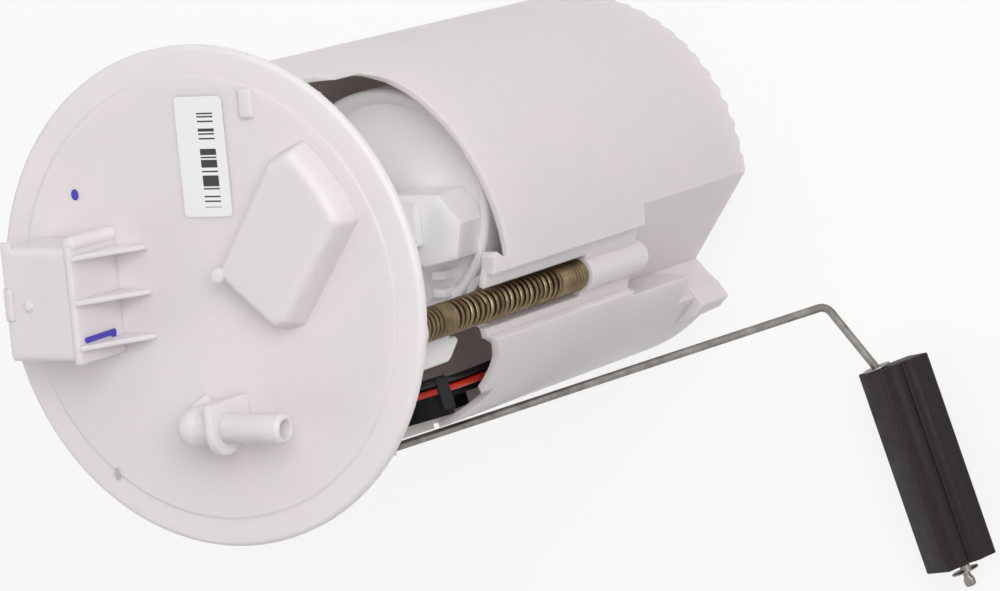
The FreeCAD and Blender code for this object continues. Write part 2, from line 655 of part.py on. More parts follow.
def surge_pot():
    front = rod_channel("front", "-26", "-5.5")
    rear = rod_channel("rear", "156", "176")
    face = [("57.5", "5.5"), ("35.9", "-23.5"), ("62", "-25")]
    inner_face = [("55.5", "7.5"), ("33.6", "-23"), ("37", "-32"), ("62", "-25")]
    notch = [("35.9", "-23.5"), ("46", "-35"), ("64", "-42"), ("62", "-24")]
    inner_notch = [("33.4", "-22"), ("32.6", "-24.6"), ("44", "-38"), ("64", "-46"), ("62", "-22")]
    limit = cylinder("PocketLimit", "pot_radius - 0.1", "200", "pot_x", "pot_y", "pot_foot_z")
    pocket_wall = common("PocketWall", prism("PocketBacking", inner_face, "pot_foot_z",
                                             "pocket_top_z + pot_wall"), limit)
    notch_limit = cylinder("NotchLimit", "pot_radius - 0.1", "200", "pot_x", "pot_y", "pot_foot_z")
    notch_wall = common("NotchWall", prism("NotchBacking", inner_notch, "pot_foot_z",
                                           "notch_top_z + pot_wall"),
                        notch_limit)
    nose = prism("Nose", [("34", "-25.5"), ("37.7", "-26"), ("43.1", "-30.9"), ("46", "-35"),
                          ("42.7", "-38.2"),
                          ("33.3", "-41.9"), ("30", "-38")], "pot_foot_z", "nose_top_z")
    solid = fuse("PotWalls", pot_outline(), front[0], rear[0], channel_tab(), pocket_wall, notch_wall)
    pocket = prism("Pocket", face, "pot_foot_z - 1", "pocket_top_z")
    hollowed = cut("PotCut", solid, front[1], rear[1], pocket,
                   prism("Notch", notch, "pot_foot_z - 1", "notch_top_z"), *front[2], *rear[2])
    posts = []
    for i in range(3):
        angle = 90 + 120 * i
        posts.append(cylinder(f"Post{i}", "3", "post_height", f"can_x + (can_radius - 6) * cos({angle})",
                              f"can_y + (can_radius - 6) * sin({angle})", "pot_floor_z"))
    with_sleeves = fuse("PotSleeves", hollowed, *front[3], *rear[3], nose, *posts)
    cutters = []
    for i, azimuth in enumerate(("slot_azimuth", "180 - slot_azimuth")):
        upper = box(f"SlotUpper{i}", ("40", "-slot_width / 2", "slot_end_z + slot_width / 2"),
                    ("70", "slot_width / 2", "slot_top_z"))
        end = cylinder(f"SlotEnd{i}", "slot_width / 2", "30", "40", "0", "slot_end_z + slot_width / 2",
                       (0, 1, 0))
        cutters.append(place(fuse(f"ColumnSlot{i}", upper, end), "pot_x", "pot_y", "0", (0, 0, 1), azimuth))
    for i, (left, right, sill) in enumerate((("-31.5", "4.6", "-96"), ("4.6", "26", "-77"))):
        blank = box(f"SenderWindowBlank{i}", (left, "-60", f"{sill} - seat_gap"), (right, "-40", "0"))
        cutters.append(moved(f"SenderWindow{i}", blank, sender_place()))
    inlets = [cylinder("ValveStemHole", "1.45", "10", "foot_valve_x", "foot_valve_y", "pot_floor_z - 6")]
    for i in range(5):
        inlets.append(cylinder(f"FootInlet{i}", "1.7", "10", f"foot_valve_x + 4.9 * cos({72 * i})",
                               f"foot_valve_y + 4.9 * sin({72 * i})", "pot_floor_z - 6"))
    body = cut("SurgePot", with_sleeves, front[4], rear[4], *cutters, *inlets, *scallops())
    return node("surge_pot", body)


for side in ("front", "rear"):
    guide_rod(side)
    spring(side)
surge_pot()


# Filter canister, cap and element
def filter_canister():
    """Round canister on three posts, closed below around the pump's inlet."""
    floor = "pot_floor_z + post_height"
    profile = [("pump_radius - 4", floor), ("can_radius - 2", floor), ("can_radius", f"{floor} + 2"),
               ("can_radius", "can_top_z"), ("can_radius - can_wall", "can_top_z"),
               ("can_radius - can_wall", f"{floor} + 2.4"), ("pump_radius - 4", f"{floor} + 2.4")]
    return node("filter_canister", turned("FilterCanister", profile, "can_x", "can_y"))


def pump_cap():
    """Dished lid with a raised lip, a boxed regulator tower and the outlet elbow's spigot."""
    lip = [("0", "cap_dish_z"), ("cap_radius - cap_lip - 1.5", "cap_dish_z"),
           ("cap_radius - cap_lip", "cap_top_z - 0.8"),
           ("cap_radius - cap_lip + 0.8", "cap_top_z"), ("cap_radius - 0.6", "cap_top_z"),
           ("cap_radius", "cap_top_z - 0.8"), ("cap_radius", "can_top_z - 6"),
           ("cap_radius - cap_wall + 0.2", "can_top_z - 6"), ("cap_radius - cap_wall + 0.2", "can_top_z"),
           ("0", "can_top_z")]
    lid = turned("CapLid", lip, "can_x", "can_y")
    x, y = "tower_x", "tower_y"
    tower = prism("Tower", [(f"{x} - tower_length / 2", f"{y} - tower_width / 2 + 3"),
                            (f"{x} - 2", f"{y} - tower_width / 2"),
                            (f"{x} + tower_length / 2 - 2", f"{y} - tower_width / 2 + 2"),
                            (f"{x} + tower_length / 2", f"{y} + 2"), (f"{x} + 4", f"{y} + tower_width / 2"),
                            (f"{x} - tower_length / 2", f"{y} + tower_width / 2")], "cap_dish_z",
                            "tower_top_z")
    step = box("TowerStep", (f"{x} - tower_length / 2", f"{y} - 4", "tower_top_z - 1"),
               (f"{x} - 2", f"{y} + tower_width / 2 - 2", "tower_top_z + 3"))
    pocket = cylinder("RegulatorPocket", "regulator_radius + 0.03", "regulator_low_z + 16.05 - can_top_z",
                      "regulator_x", "regulator_y", "can_top_z - 1")
    elbow_x = "outlet_x + 16"
    riser = cylinder("OutletRiser", "nipple_radius + 0.6", "outlet_z - can_top_z", elbow_x, "outlet_y",
                     "can_top_z")
    knee = ball("OutletKnee", "nipple_radius + 0.6", elbow_x, "outlet_y", "outlet_z")
    spigot = cylinder("Outlet", "nipple_radius", "16", "outlet_x", "outlet_y", "outlet_z", (0, 1, 0))
    barbs = [cone(f"OutletBarb{i}", "nipple_radius - 0.3", "nipple_radius + barb_height", "barb_length",
                  f"outlet_x + 0.6 + {i} * (barb_length + 1.2)", "outlet_y", "outlet_z",
                  (0, 1, 0)) for i in range(2)]
    bores = [cylinder("OutletBore", "fuel_bore", "17", "outlet_x - 1", "outlet_y", "outlet_z", (0, 1, 0)),
             cylinder("OutletDrop", "fuel_bore", "outlet_z - can_top_z + 1", elbow_x, "outlet_y",
                      "can_top_z - 1"),
             ball("OutletTurn", "fuel_bore", elbow_x, "outlet_y", "outlet_z")]
    clips = [box(f"CapClip{i}", ("28", f"{-7 - 5 * i}", "cap_dish_z - 0.5"),
                 ("32", f"{-4.6 - 5 * i}", "cap_top_z + 3.5"))
             for i in range(2)]
    neck = cylinder("PumpNeck", "pump_neck_radius + 0.03", "4", "can_x", "can_y", "can_top_z - 1")
    return node("pump_cap", cut("PumpCap", fuse("CapSolid", lid, tower, step, riser, knee, spigot, *barbs,
                                                *clips), pocket,
                                *bores, neck))


def filter_element():
    """Pleated paper ring with a plastic end plate at each end."""
    low, high = "(pot_floor_z + post_height + 2.42)", "(can_top_z - 0.3)"
    count = int(number("pleats"))
    corners = []
    for i in range(count):
        for radius, angle in (("media_outer", 360 * i / count), ("media_inner + 1", 360 * (i + 0.5) / count)):
            corners.append((f"({radius}) * cos({angle:.3f})", f"({radius}) * sin({angle:.3f})"))
    paper = prism("Paper", corners, f"{low} + 2", f"{high} - 2")
    place(paper, "can_x", "can_y")
    ends = [cylinder(f"EndPlate{i}", "media_outer + 0.4", "2", "can_x", "can_y", z)
            for i, z in enumerate((low, f"{high} - 2"))]
    core = cylinder("MediaCore", "media_inner", "200", "can_x", "can_y", "pot_foot_z")
    return node("filter_element", cut("FilterElement", fuse("MediaSolid", paper, *ends), core))


# Pump: case, end covers, magnets, brushes and check valve
def pump_case():
    return node("pump_case", ring("PumpCase", "pump_radius", "pump_radius - case_wall",
                                  "case_high_z - case_low_z",
                                  "can_x", "can_y", "case_low_z"))


def pump_top_cover():
    """End cover with the top bush seat, brush bores, neck and check valve seat."""
    base = "case_high_z - 8"
    inner = "pump_radius - case_wall - 0.05"
    profile = [("shaft_radius + 3.03", base), (inner, base), (inner, "case_high_z"),
               ("pump_radius", "case_high_z"), ("pump_radius", "case_high_z + 3"),
               ("14", "case_high_z + 8"), ("pump_neck_radius", "case_high_z + 10"),
               ("pump_neck_radius", "can_top_z + 2.5"), ("4.4", "can_top_z + 2.5"), ("4.4", "can_top_z - 10"),
               ("2.2", "can_top_z - 10"), ("2.2", "case_high_z + 4"),
               ("shaft_radius + 3.03", "case_high_z + 2")]
    cover = turned("TopCover", profile, "can_x", "can_y")
    holes = [box(f"BrushBore{i}", ("brush_low", "-brush_width / 2 - 0.1", f"{base} - 1"),
                 ("brush_low + 3.4", "brush_width / 2 + 0.1", "case_high_z + 1")) for i in range(2)]
    for i, hole in enumerate(holes):
        sign = 1 - 2 * i
        place(hole, f"can_x + ({sign}) * brush_low", f"can_y - ({sign}) * (brush_width / 2 + 0.1)",
              f"{base} - 1",
              (0, 0, 1), str(180 * i))
    return node("pump_top_cover", cut("PumpTopCover", cover, *holes))


def pump_inlet_cover():
    """Lower cover with the inlet stub, in which the impeller runs."""
    low = "case_low_z - 2"
    top = "impeller_z - running_gap"
    profile = [("5.5", f"{low} - 9"), ("7", f"{low} - 9"), ("7", low), ("pump_radius", low),
               ("pump_radius", "case_low_z"), ("pump_radius - case_wall - 0.05", "case_low_z"),
               ("pump_radius - case_wall - 0.05", top), ("shaft_radius + shaft_fit", top),
               ("shaft_radius + shaft_fit", f"{low} + 2"), ("0", f"{low} + 2"), ("0", f"{low} + 1"),
               ("5.5", f"{low} + 1")]
    cover = turned("InletCover", profile, "can_x", "can_y")
    port = cylinder("InletPort", "1.4", "30", "can_x + 3.9", "can_y", f"{low} + 0.5")
    return node("pump_inlet_cover", cut("PumpInletCover", cover, port))


def channel_plate():
    """Upper pump plate with the lower bush and the outlet port, and a rim round the impeller."""
    low = "impeller_z + impeller_thickness + running_gap"
    outer = "pump_radius - case_wall - 0.05"
    profile = [("impeller_radius + running_gap", "impeller_z - running_gap"),
               (outer, "impeller_z - running_gap"),
               (outer, f"{low} + 4"), ("shaft_radius + shaft_fit", f"{low} + 4"),
               ("shaft_radius + shaft_fit", low),
               ("impeller_radius + running_gap", low)]
    plate = turned("ChannelPlateBlank", profile, "can_x", "can_y")
    port = cylinder("ChannelPort", "2.2", "10", "can_x - 10", "can_y", f"{low} - 1")
    return node("channel_plate", cut("ChannelPlate", plate, port))


def impeller():
    """Turbine wheel with vane slots round its rim."""
    disc = cylinder("ImpellerDisc", "impeller_radius", "impeller_thickness", "can_x", "can_y", "impeller_z")
    hub = cylinder("ImpellerBore", "shaft_radius", "impeller_thickness + 2", "can_x", "can_y",
                   "impeller_z - 1")
    count = int(number("impeller_vanes"))
    slots = []
    for i in range(count):
        angle = 360 * i / count
        slot = box(f"VaneSlot{i}", ("0", "-0.9", "impeller_z - 1"),
                   ("4", "0.9", "impeller_z + impeller_thickness + 1"))
        place(slot, f"can_x + (impeller_radius - 3) * cos({angle}) + 0.9 * sin({angle})",
              f"can_y + (impeller_radius - 3) * sin({angle}) - 0.9 * cos({angle})", "impeller_z - 1",
              (0, 0, 1), str(angle))
        slots.append(slot)
    return node("impeller", cut("Impeller", disc, hub, *slots))


def armature():
    """Skewless armature: slotted core with its end windings."""
    core = cylinder("ArmatureCore", "armature_radius", "magnet_high_z - magnet_low_z - 4", "can_x", "can_y",
                    "magnet_low_z + 2")
    ends = [cylinder(f"EndWinding{i}", "armature_radius - 1.8", "4", "can_x", "can_y", z)
            for i, z in enumerate(("magnet_low_z - 2", "magnet_high_z - 2"))]
    slots = []
    for i in range(8):
        angle = 45 * i
        slot = cylinder(f"WireSlot{i}", "1.3", "60", f"can_x + armature_radius * cos({angle})",
                        f"can_y + armature_radius * sin({angle})", "magnet_low_z - 8")
        slots.append(slot)
    hub = cylinder("ArmatureBore", "shaft_radius", "60", "can_x", "can_y", "magnet_low_z - 8")
    return node("armature", cut("Armature", fuse("ArmatureSolid", core, *ends), hub, *slots))


def commutator():
    """Flat-faced commutator with eight copper bars."""
    disc = cylinder("CommutatorDisc", "commutator_radius", "5", "can_x", "can_y", "magnet_high_z + 2")
    cuts = [cylinder("CommutatorBore", "shaft_radius", "8", "can_x", "can_y", "magnet_high_z + 1")]
    for i in range(4):
        angle = 22.5 + 45 * i
        gap = box(f"BarGap{i}", ("-12", "-0.3", "0"), ("12", "0.3", "2"))
        place(gap, f"can_x - 12 * cos({angle}) + 0.3 * sin({angle})",
              f"can_y - 12 * sin({angle}) - 0.3 * cos({angle})",
              "magnet_high_z + 6.2", (0, 0, 1), str(angle))
        cuts.append(gap)
    return node("commutator", cut("Commutator", disc, *cuts))


def rotor_shaft():
    low, high = "case_low_z + 1", "case_high_z - 1"
    return node("rotor_shaft", cylinder("RotorShaft", "shaft_radius", f"({high}) - ({low})", "can_x",
                                        "can_y", low))


def motor_magnets():
    """Two ferrite arcs bonded inside the case."""
    outer = "pump_radius - case_wall - 0.03"
    shell = ring("MagnetRing", outer, f"{outer} - magnet_thickness", "magnet_high_z - magnet_low_z",
                 "can_x", "can_y",
                 "magnet_low_z")
    gap = box("MagnetGap", ("can_x - 3", "can_y - pump_radius", "magnet_low_z - 1"),
              ("can_x + 3", "can_y + pump_radius", "magnet_high_z + 1"))
    return node("motor_magnets", cut("MotorMagnets", shell, gap))


def top_bush():
    return node("top_bush", ring("TopBush", "shaft_radius + 3", "shaft_radius + shaft_fit", "6", "can_x",
                                 "can_y",
                                 "case_high_z - 7"))


def brushes():
    """Two carbon brushes on the commutator's face."""
    blocks = []
    for i in range(2):
        sign = 1 - 2 * i
        block = box(f"BrushBlock{i}", ("0", "0", "magnet_high_z + 7.05"),
                    ("3", "brush_width", "case_high_z - 3"))
        place(block, f"can_x + ({sign}) * (brush_low + 0.2)", f"can_y - ({sign}) * brush_width / 2",
              "magnet_high_z + 7.05", (0, 0, 1), str(180 * i))
        blocks.append(block)
    return node("brushes", fuse("Brushes", *blocks))


def brush_springs():
    """Brush springs, each its outer shape."""
    coils = [ring(f"BrushSpring{i}", "1.3", "0.8", "3.9", f"can_x + {1 - 2 * i} * (brush_low + 1.7)", "can_y",
                  "case_high_z - 2.98") for i in range(2)]
    return node("brush_springs", fuse("BrushSprings", *coils))


def check_valve():
    """Spring-loaded outlet poppet in the neck, with its spring and retainer."""
    seat = "can_top_z - 10"
    poppet = turned("CheckPoppet", [("0", f"{seat} - 1.5"), ("2", f"{seat} - 1.5"), ("2.1", f"{seat}"),
                                    ("3.6", f"{seat} + 0.3"),
                                    ("3.6", f"{seat} + 1.5"), ("1.1", f"{seat} + 1.5"),
                                    ("1.1", f"{seat} + 4"),
                                    ("0", f"{seat} + 4")], "can_x", "can_y")
    node("check_poppet", poppet)
    node("check_spring", ring("CheckSpring", "3.3", "2.6", "8.2", "can_x", "can_y", f"{seat} + 1.6"))
    retainer = turned("CheckRetainer", [("1.5", f"{seat} + 9.9"), ("4.37", f"{seat} + 9.9"),
                                        ("4.37", f"{seat} + 12.4"),
                                        ("1.5", f"{seat} + 12.4")], "can_x", "can_y")
    node("check_retainer", retainer)


# Small parts of the pot: isolator, strainer, valves, regulator and jet pump
def isolator_ring():
    low = "pot_floor_z + post_height + 2.42"
    return node("isolator_ring", ring("IsolatorRing", "pump_radius + 2", "pump_radius - 6",
                                      "case_low_z - 2.02 - (" + low + ")",
                                      "can_x", "can_y", low))


def inlet_strainer():
    """Round mesh strainer pushed on the pump's inlet stub."""
    profile = [("7.03", "case_low_z - 7"), ("9", "case_low_z - 7"), ("9", "case_low_z - 13.6"),
               ("13", "case_low_z - 14.6"), ("13", "pot_floor_z + 0.3"), ("0", "pot_floor_z + 0.3"),
               ("0", "case_low_z - 11.2"), ("7.03", "case_low_z - 11.2")]
    return node("inlet_strainer", turned("InletStrainer", profile, "can_x", "can_y"))


def foot_valve():
    """Umbrella valve over the pot's inlet, its stem snapped through the spider."""
    under = "pot_floor_z - pot_floor"
    profile = [("0", f"{under} - 2.4"), ("1.1", f"{under} - 2.4"), ("2.2", f"{under} - 0.6"),
               ("2.2", f"{under} - 0.05"),
               ("1.4", f"{under} - 0.05"), ("1.4", "pot_floor_z + 0.05"), ("8", "pot_floor_z + 0.05"),
               ("8", "pot_floor_z + 0.8"), ("3", "pot_floor_z + 2.6"), ("0", "pot_floor_z + 2.8")]
    return node("foot_valve", turned("FootValve", profile, "foot_valve_x", "foot_valve_y"))


def regulator():
    """Pressure regulator can in the cap's tower, with its ball and spring."""
    x, y, low = "regulator_x", "regulator_y", "regulator_low_z"
    profile = [("2", low), ("regulator_radius", low), ("regulator_radius", f"{low} + 15"),
               ("2", f"{low} + 15"), ("2", f"{low} + 14"), ("regulator_radius - 1", f"{low} + 14"),
               ("regulator_radius - 1", f"{low} + 3"), ("2", f"{low} + 1")]
    node("regulator_body", turned("RegulatorBody", profile, x, y))
    node("regulator_ball", ball("RegulatorBall", "2.6", x, y, f"{low} + 2.88"))
    node("regulator_spring", ring("RegulatorSpring", "2.4", "1.7", "8.4", x, y, f"{low} + 5.55"))


def jet_pump():
    """Venturi block on the pot's floor with its nozzle pressed in."""
    x, y, z = "jet_x", "jet_y", "pot_floor_z + jet_height"
    block = box("JetBlock", (x, f"{y} - jet_radius", "pot_floor_z"),
                (f"{x} + jet_length", f"{y} + jet_radius", z))
    barrel = cylinder("JetBarrel", "jet_radius", "jet_length", x, y, z, (0, 1, 0))
    bore = cylinder("JetBore", "jet_bore", "jet_length + 2", f"{x} - 1", y, z, (0, 1, 0))
    node("jet_pump_body", cut("JetPumpBody", fuse("JetSolid", block, barrel), bore))
    tip = cone("JetCone", "jet_bore - 0.02", "jet_bore - 1.1", "jet_length / 2", x, y, z, (0, 1, 0))
    node("jet_nozzle", cut("JetNozzle", tip, cylinder("JetHole", "0.6", "jet_length", f"{x} - 1", y, z,
                                                      (0, 1, 0))))


# Level sender, its arm and the float, built facing -Y and turned to the sender's azimuth
def to_sender(name, item):
    return moved(name, item, sender_place())


def sender_housing():
    """Back plate with rails and a clip block for the leads."""
    face = "-sender_face"
    plate = box("SenderPlate", ("-31", face, "-96"), ("4", f"{face} + 3.6", "-54"))
    shoulder = [("13.5", "-61.2"), ("18.5", "-63.3")]
    corners = [("4", "-77"), ("4", "-61.1")] + shoulder + [("19", "-65.5"), ("11.5", "-77")]
    block = prism("SenderBlock", corners, "40", "sender_face", "XZ_Plane")
    strip = prism("LeadStrip", shoulder + [("20.6", "-68"), ("20.6", "-90"), ("16.5", "-90"),
                                           ("16.5", "-66")],
                  "lead_clip_high", "lead_clip_low", "XZ_Plane")
    foot = prism("ClipFoot", [("16.4", "-63"), ("18.8", "-65.4"), ("23.3", "-60.9"), ("20.9", "-58.5")],
                 "lead_clip_low - 1.3", "lead_clip_low + 3", "XZ_Plane")
    roof = prism("ClipRoof", [("22.2", "-62"), ("23.3", "-60.9"), ("20.9", "-58.5"), ("19.8", "-59.6")],
                 "lead_clip_high - 1", "lead_clip_low", "XZ_Plane")
    post = cylinder("PivotPost", "2.6", "3.9", "pivot_along", face, "pivot_z", (1, 0, 0), "90")
    recesses = [box("CardRecess", ("-29", f"{face} - 1", "-94"), ("2", f"{face} + 1.05", "-72"))]
    for i in range(3):
        x = f"(terminal_first + {i} * terminal_pitch)"
        recesses.append(box(f"TerminalGroove{i}", (f"{x} - 0.1", f"{face} - 1", "-73"),
                            (f"{x} + terminal_width + 0.1", f"{face} + 1.05", "-59.9")))
    fin = box("SenderFin", ("-34", face, "-94"), ("-30", "-45.1", "-66"))
    solid = cut("SenderCut", fuse("SenderSolid", plate, block, strip, foot, roof, post, fin), *recesses)
    return node("sender_housing", to_sender("SenderHousing", solid))


def sender_card():
    card = box("SenderCard", ("-28.9", "-sender_face + 0.25", "-93.9"),
               ("1.9", "-sender_face + 1.05", "-72.1"))
    return node("sender_card", to_sender("SenderCardPlaced", card))


def arm_frame(name, item):
    """Wrap an arm piece drawn in the arm's own frame: pivot at the origin, wire down -Z, outside at -Y."""
    turn = Turn(Vector(0, 0, 1), 90 + number("sender_azimuth")) * Turn(Vector(0, 1, 0), -number("arm_tilt"))
    base = Turn(Vector(0, 0, 1), 90 + number("sender_azimuth")).multVec(
        Vector(number("pivot_along"), -number("arm_plane"), number("pivot_z")))
    return moved(name, item, FreeCAD.Placement(base, turn))


def arm_hub():
    """Plastic hub on the pivot post, with a lever that clips the wire."""
    back = "arm_plane - sender_face - 0.6"
    disc = cylinder("HubDisc", "hub_radius", "hub_thickness", "0", back, "0", (1, 0, 0))
    lever = box("HubLever", ("-4.2", f"{back} - hub_thickness", "-hub_reach"), ("4.2", back, "0"))
    lugs = [box(f"HubLug{i}", ("-3.4", "-wire_radius - 0.8", f"-hub_reach + {z}"),
                ("3.4", f"{back} - hub_thickness", f"-hub_reach + {z} + 3.5")) for i,
                z in enumerate((13, 21))]
    bore = cylinder("HubBore", "2.66", "20", "0", "10", "0", (1, 0, 0))
    channel = cylinder("WireChannel", "wire_radius + 0.02", "60", "0", "0", "-50")
    return node("arm_hub", arm_frame("ArmHub", cut("HubSolid", fuse("HubBlank", disc, lever, *lugs), bore,
                                                   channel)))


def float_wire():
    """Bent steel wire: hooked into the hub, straight to the knee, then out through the float."""
    knee = Vector(0, 0, -number("arm_length"))
    lead_angle = math.radians(number("float_lead_angle"))
    lead = Vector(0, -math.cos(lead_angle), -math.sin(lead_angle)) * number("float_lead")
    root = Vector(0, 0, 6)
    tail = knee + lead + float_direction() * (number("float_length") + 4.5)
    path = rounded([root, knee, knee + lead, tail], [number("wire_bend")] * 2)
    item = doc.addObject("Part::Feature", "FloatWireShape")
    item.Shape = tube(path, number("wire_radius"))
    return item


def float_direction():
    """The wire's last run in the arm's frame: outwards, a few degrees off the hinge axis."""
    lean = math.radians(number("float_lean"))
    drop = math.radians(number("float_drop"))
    return Vector(math.sin(lean), -math.cos(lean) * math.cos(drop), -math.cos(lean) * math.sin(drop))


def rounded(points, bends):
    """Straight runs joined by tangent arcs, one bend radius for each corner."""
    edges, start = [], points[0]
    for before, corner, after, bend in zip(points, points[1:], points[2:], bends):
        inward, outward = (corner - before).normalize(), (after - corner).normalize()
        turn = inward.getAngle(outward)
        trim = bend * math.tan(turn / 2)
        a, b = corner - inward * trim, corner + outward * trim
        middle = corner + (outward - inward).normalize() * (bend / math.cos(turn / 2) - bend)
        edges += [Part.LineSegment(start, a).toShape(), Part.Arc(a, middle, b).toShape()]
        start = b
    return Part.Wire(edges + [Part.LineSegment(start, points[-1]).toShape()])


def tube(path, radius):
    """A round bar along a path."""
    start = path.Edges[0].valueAt(path.Edges[0].FirstParameter)
    heading = path.Edges[0].tangentAt(path.Edges[0].FirstParameter)
    section = Part.Wire([Part.Circle(start, heading, radius).toShape()])
    return path.makePipeShell([section], True, False)


def arm_wire():
    return node("arm_wire", arm_frame("ArmWire", float_wire()))


def float_block():
    """Foam float: flat facet, two ridges with a groove between, bored for the wire."""
    near, far = "-float_gap - float_lead * cos(float_lead_angle)", "float_length"
    left = "(-arm_length - float_lead * sin(float_lead_angle) + float_edge)"
    half = "float_depth / 2"
    section = [("-float_depth / 2", left), ("-float_depth / 2", f"{left} - float_width"),
               ("3.4", f"{left} - float_width"),
               (f"{half} - 1.4", f"{left} - 0.94 * float_width"), (half, f"{left} - 0.86 * float_width"),
               (half, f"{left} - 0.78 * float_width"), (f"{half} - 0.9", f"{left} - 0.71 * float_width"),
               (f"{half} - 1.6", f"{left} - 0.66 * float_width"),
               (f"{half} - 0.9", f"{left} - 0.6 * float_width"),
               (half, f"{left} - 0.52 * float_width"), (f"{half} + 0.1", f"{left} - 0.42 * float_width"),
               (f"{half} - 0.9", f"{left} - 0.28 * float_width"), ("2.2", left)]
    block = prism("FloatSection", section, f"-({near})", f"-({near}) + {far}", "XZ_Plane")
    bore = doc.addObject("Part::Feature", "FloatBore")
    knee = Vector(0, 0, -number("arm_length"))
    corner = knee + lead_vector()
    bore.Shape = Part.makeCylinder(number("wire_radius + float_fit"), number("2 * float_length"), corner,
                                   float_direction())
    return node("float_block", arm_frame("FloatBlock", cut("FloatCut", block, bore)))


def lead_vector():
    """The wire's run from its knee to the float, in the arm's frame."""
    angle = math.radians(number("float_lead_angle"))
    return Vector(0, -math.cos(angle), -math.sin(angle)) * number("float_lead")


def float_washers():
    """Two push-on retaining washers, one at each end of the float."""
    corner = Vector(0, 0, -number("arm_length")) + lead_vector()
    direction = float_direction()
    outer, inner, thick = (number(word) for word in ("washer_radius", "wire_radius", "washer_thickness"))
    rings = []
    for along in (0.9, number("(float_gap + float_length) / cos(float_drop) + 0.7")):
        start = corner + direction * along
        rings.append(Part.makeCylinder(outer, thick, start, direction).cut(
            Part.makeCylinder(inner + 0.01, thick, start, direction)))
    item = doc.addObject("Part::Feature", "WasherRings")
    item.Shape = Part.makeCompound(rings)
    return node("float_washers", arm_frame("FloatWashers", item))


def wiper_contact():
    """Forked spring contact on the hub's inner face, over the resistor card."""
    back = "arm_plane - sender_face - 0.6"
    fingers = [box(f"Finger{i}", (x, back, "-hub_reach + 2"), (f"{x} + 1.2", f"{back} + 0.25", "-6"))
               for i, x in enumerate(("-3", "1.8"))]
    bridge = box("FingerBridge", ("-3", back, "-8"), ("3", f"{back} + 0.25", "-6"))
    return node("wiper_contact", arm_frame("WiperContact", fuse("WiperSolid", bridge, *fingers)))


def sender_terminals():
    """Crimped terminals on the card's upper edge."""
    tabs = []
    for i in range(3):
        x = f"terminal_first + {i} * terminal_pitch"
        tabs.append(box(f"Terminal{i}", (x, "-sender_face + 0.25", "-72.05"),
                        (f"{x} + terminal_width", "-sender_face + 0.95", "-60")))
    return node("sender_terminals", to_sender("SenderTerminals", fuse("TerminalSolid", *tabs)))


# Harness and hose inside the module
def harness_plug():
    """Plug on the blades' lower ends."""
    gap = "plug_gap"
    body = box("PlugBody", (f"plug_left_x + {gap}", f"plug_low_y + {gap}", "plug_end_z"),
               (f"plug_right_x - {gap}", f"plug_high_y - {gap}", f"plug_top_z - {gap}"))
    slots = []
    for i in range(5):
        y = f"blade_first_y + {i} * blade_pitch"
        slots.append(box(f"PlugSlot{i}", ("blade_drop_x - 0.1", f"{y} - blade_width / 2 - 0.1",
                                          "blade_tail_z - 0.5"),
                         ("blade_drop_x + blade_thickness + 0.1", f"{y} + blade_width / 2 + 0.1", "0")))
    return node("harness_plug", cut("HarnessPlug", body, *slots))


def pump_plug():
    """Sealed lead plug on the canister's side."""
    block = box("PumpPlugBlock", ("15", "-24.5", "-108"), ("27", "-12", "-94"))
    grip = box("PumpPlugGrip", ("17.5", "-25.5", "-104"), ("24.5", "-24.5", "-98"))
    wall = cylinder("PumpPlugSeat", "can_radius", "40", "can_x", "can_y", "-120")
    return node("pump_plug", cut("PumpPlug", fuse("PumpPlugSolid", block, grip), wall))


def fuel_hose():
    """Corrugated hose from the cover's nipple round to the cap's outlet, pushed over both."""
    x, y, z = (number("nozzle_" + letter) for letter in "xyz")
    end_x, end_y, end_z = (number("outlet_" + letter) for letter in "xyz")
    route = [Vector(x, y, -9), Vector(x, y, -48), Vector(-26, y, end_z), Vector(-40, -20, end_z),
             Vector(end_x - 16, end_y, end_z), Vector(end_x + 10, end_y, end_z)]
    return node("fuel_hose", cord("FuelHose", route, number("hose_radius"), number("hose_bore")))


def pump_leads():
    """Red and black leads from the inner plug, over the sender's clip block and down to the pump."""
    red = [(-38, -6, -24), (-38, -6, -36), (-34, -30, -43), (-12, -46, -51), (7.1, -42.96, -59.6),
           (32.04, -36.74, -59.6), (33.2, -36.45, -78), (33.6, -35.6, -97), (25.8, -25.15, -102)]
    aside = [(0, 6, 0), (0, 6, 0), (2.5, 4, 0), (0.5, 2.6, 0), (-0.54, 2.18, 0), (-0.56, 2.23, 0),
             (-0.56, 2.23, 2.6), (-0.56, 2.23, 3.2), (0, -0.05, 3.6)]
    for i, colour in enumerate(("red", "black")):
        route = [Vector(*point) + Vector(*shift) * i for point, shift in zip(red, aside)]
        route[0].z = number("plug_end_z") - 0.02
        node(f"pump_lead_{colour}", cord(f"PumpLead{i}", route, number("lead_radius")))


def cord(name, route, radius, bore=0):
    """A cord's solid: straight runs joined by tangent arcs, each arc as large as its runs allow."""
    bends = []
    for before, corner, after in zip(route, route[1:], route[2:]):
        shorter = min(before.distanceToPoint(corner), corner.distanceToPoint(after))
        bends.append(0.45 * shorter / math.tan((corner - before).getAngle(after - corner) / 2))
    path = rounded(route, bends)
    item = doc.addObject("Part::Feature", name)
    solid = tube(path, radius)
    item.Shape = solid.cut(tube(path, bore)) if bore else solid
    expected = math.pi * (radius ** 2 - bore ** 2) * path.Length
    print(f"{name}: {path.Length:.1f} mm long, bends {[round(bend, 1) for bend in bends]}, "
          f"volume ratio {item.Shape.Volume / expected:.4f}")
    return item


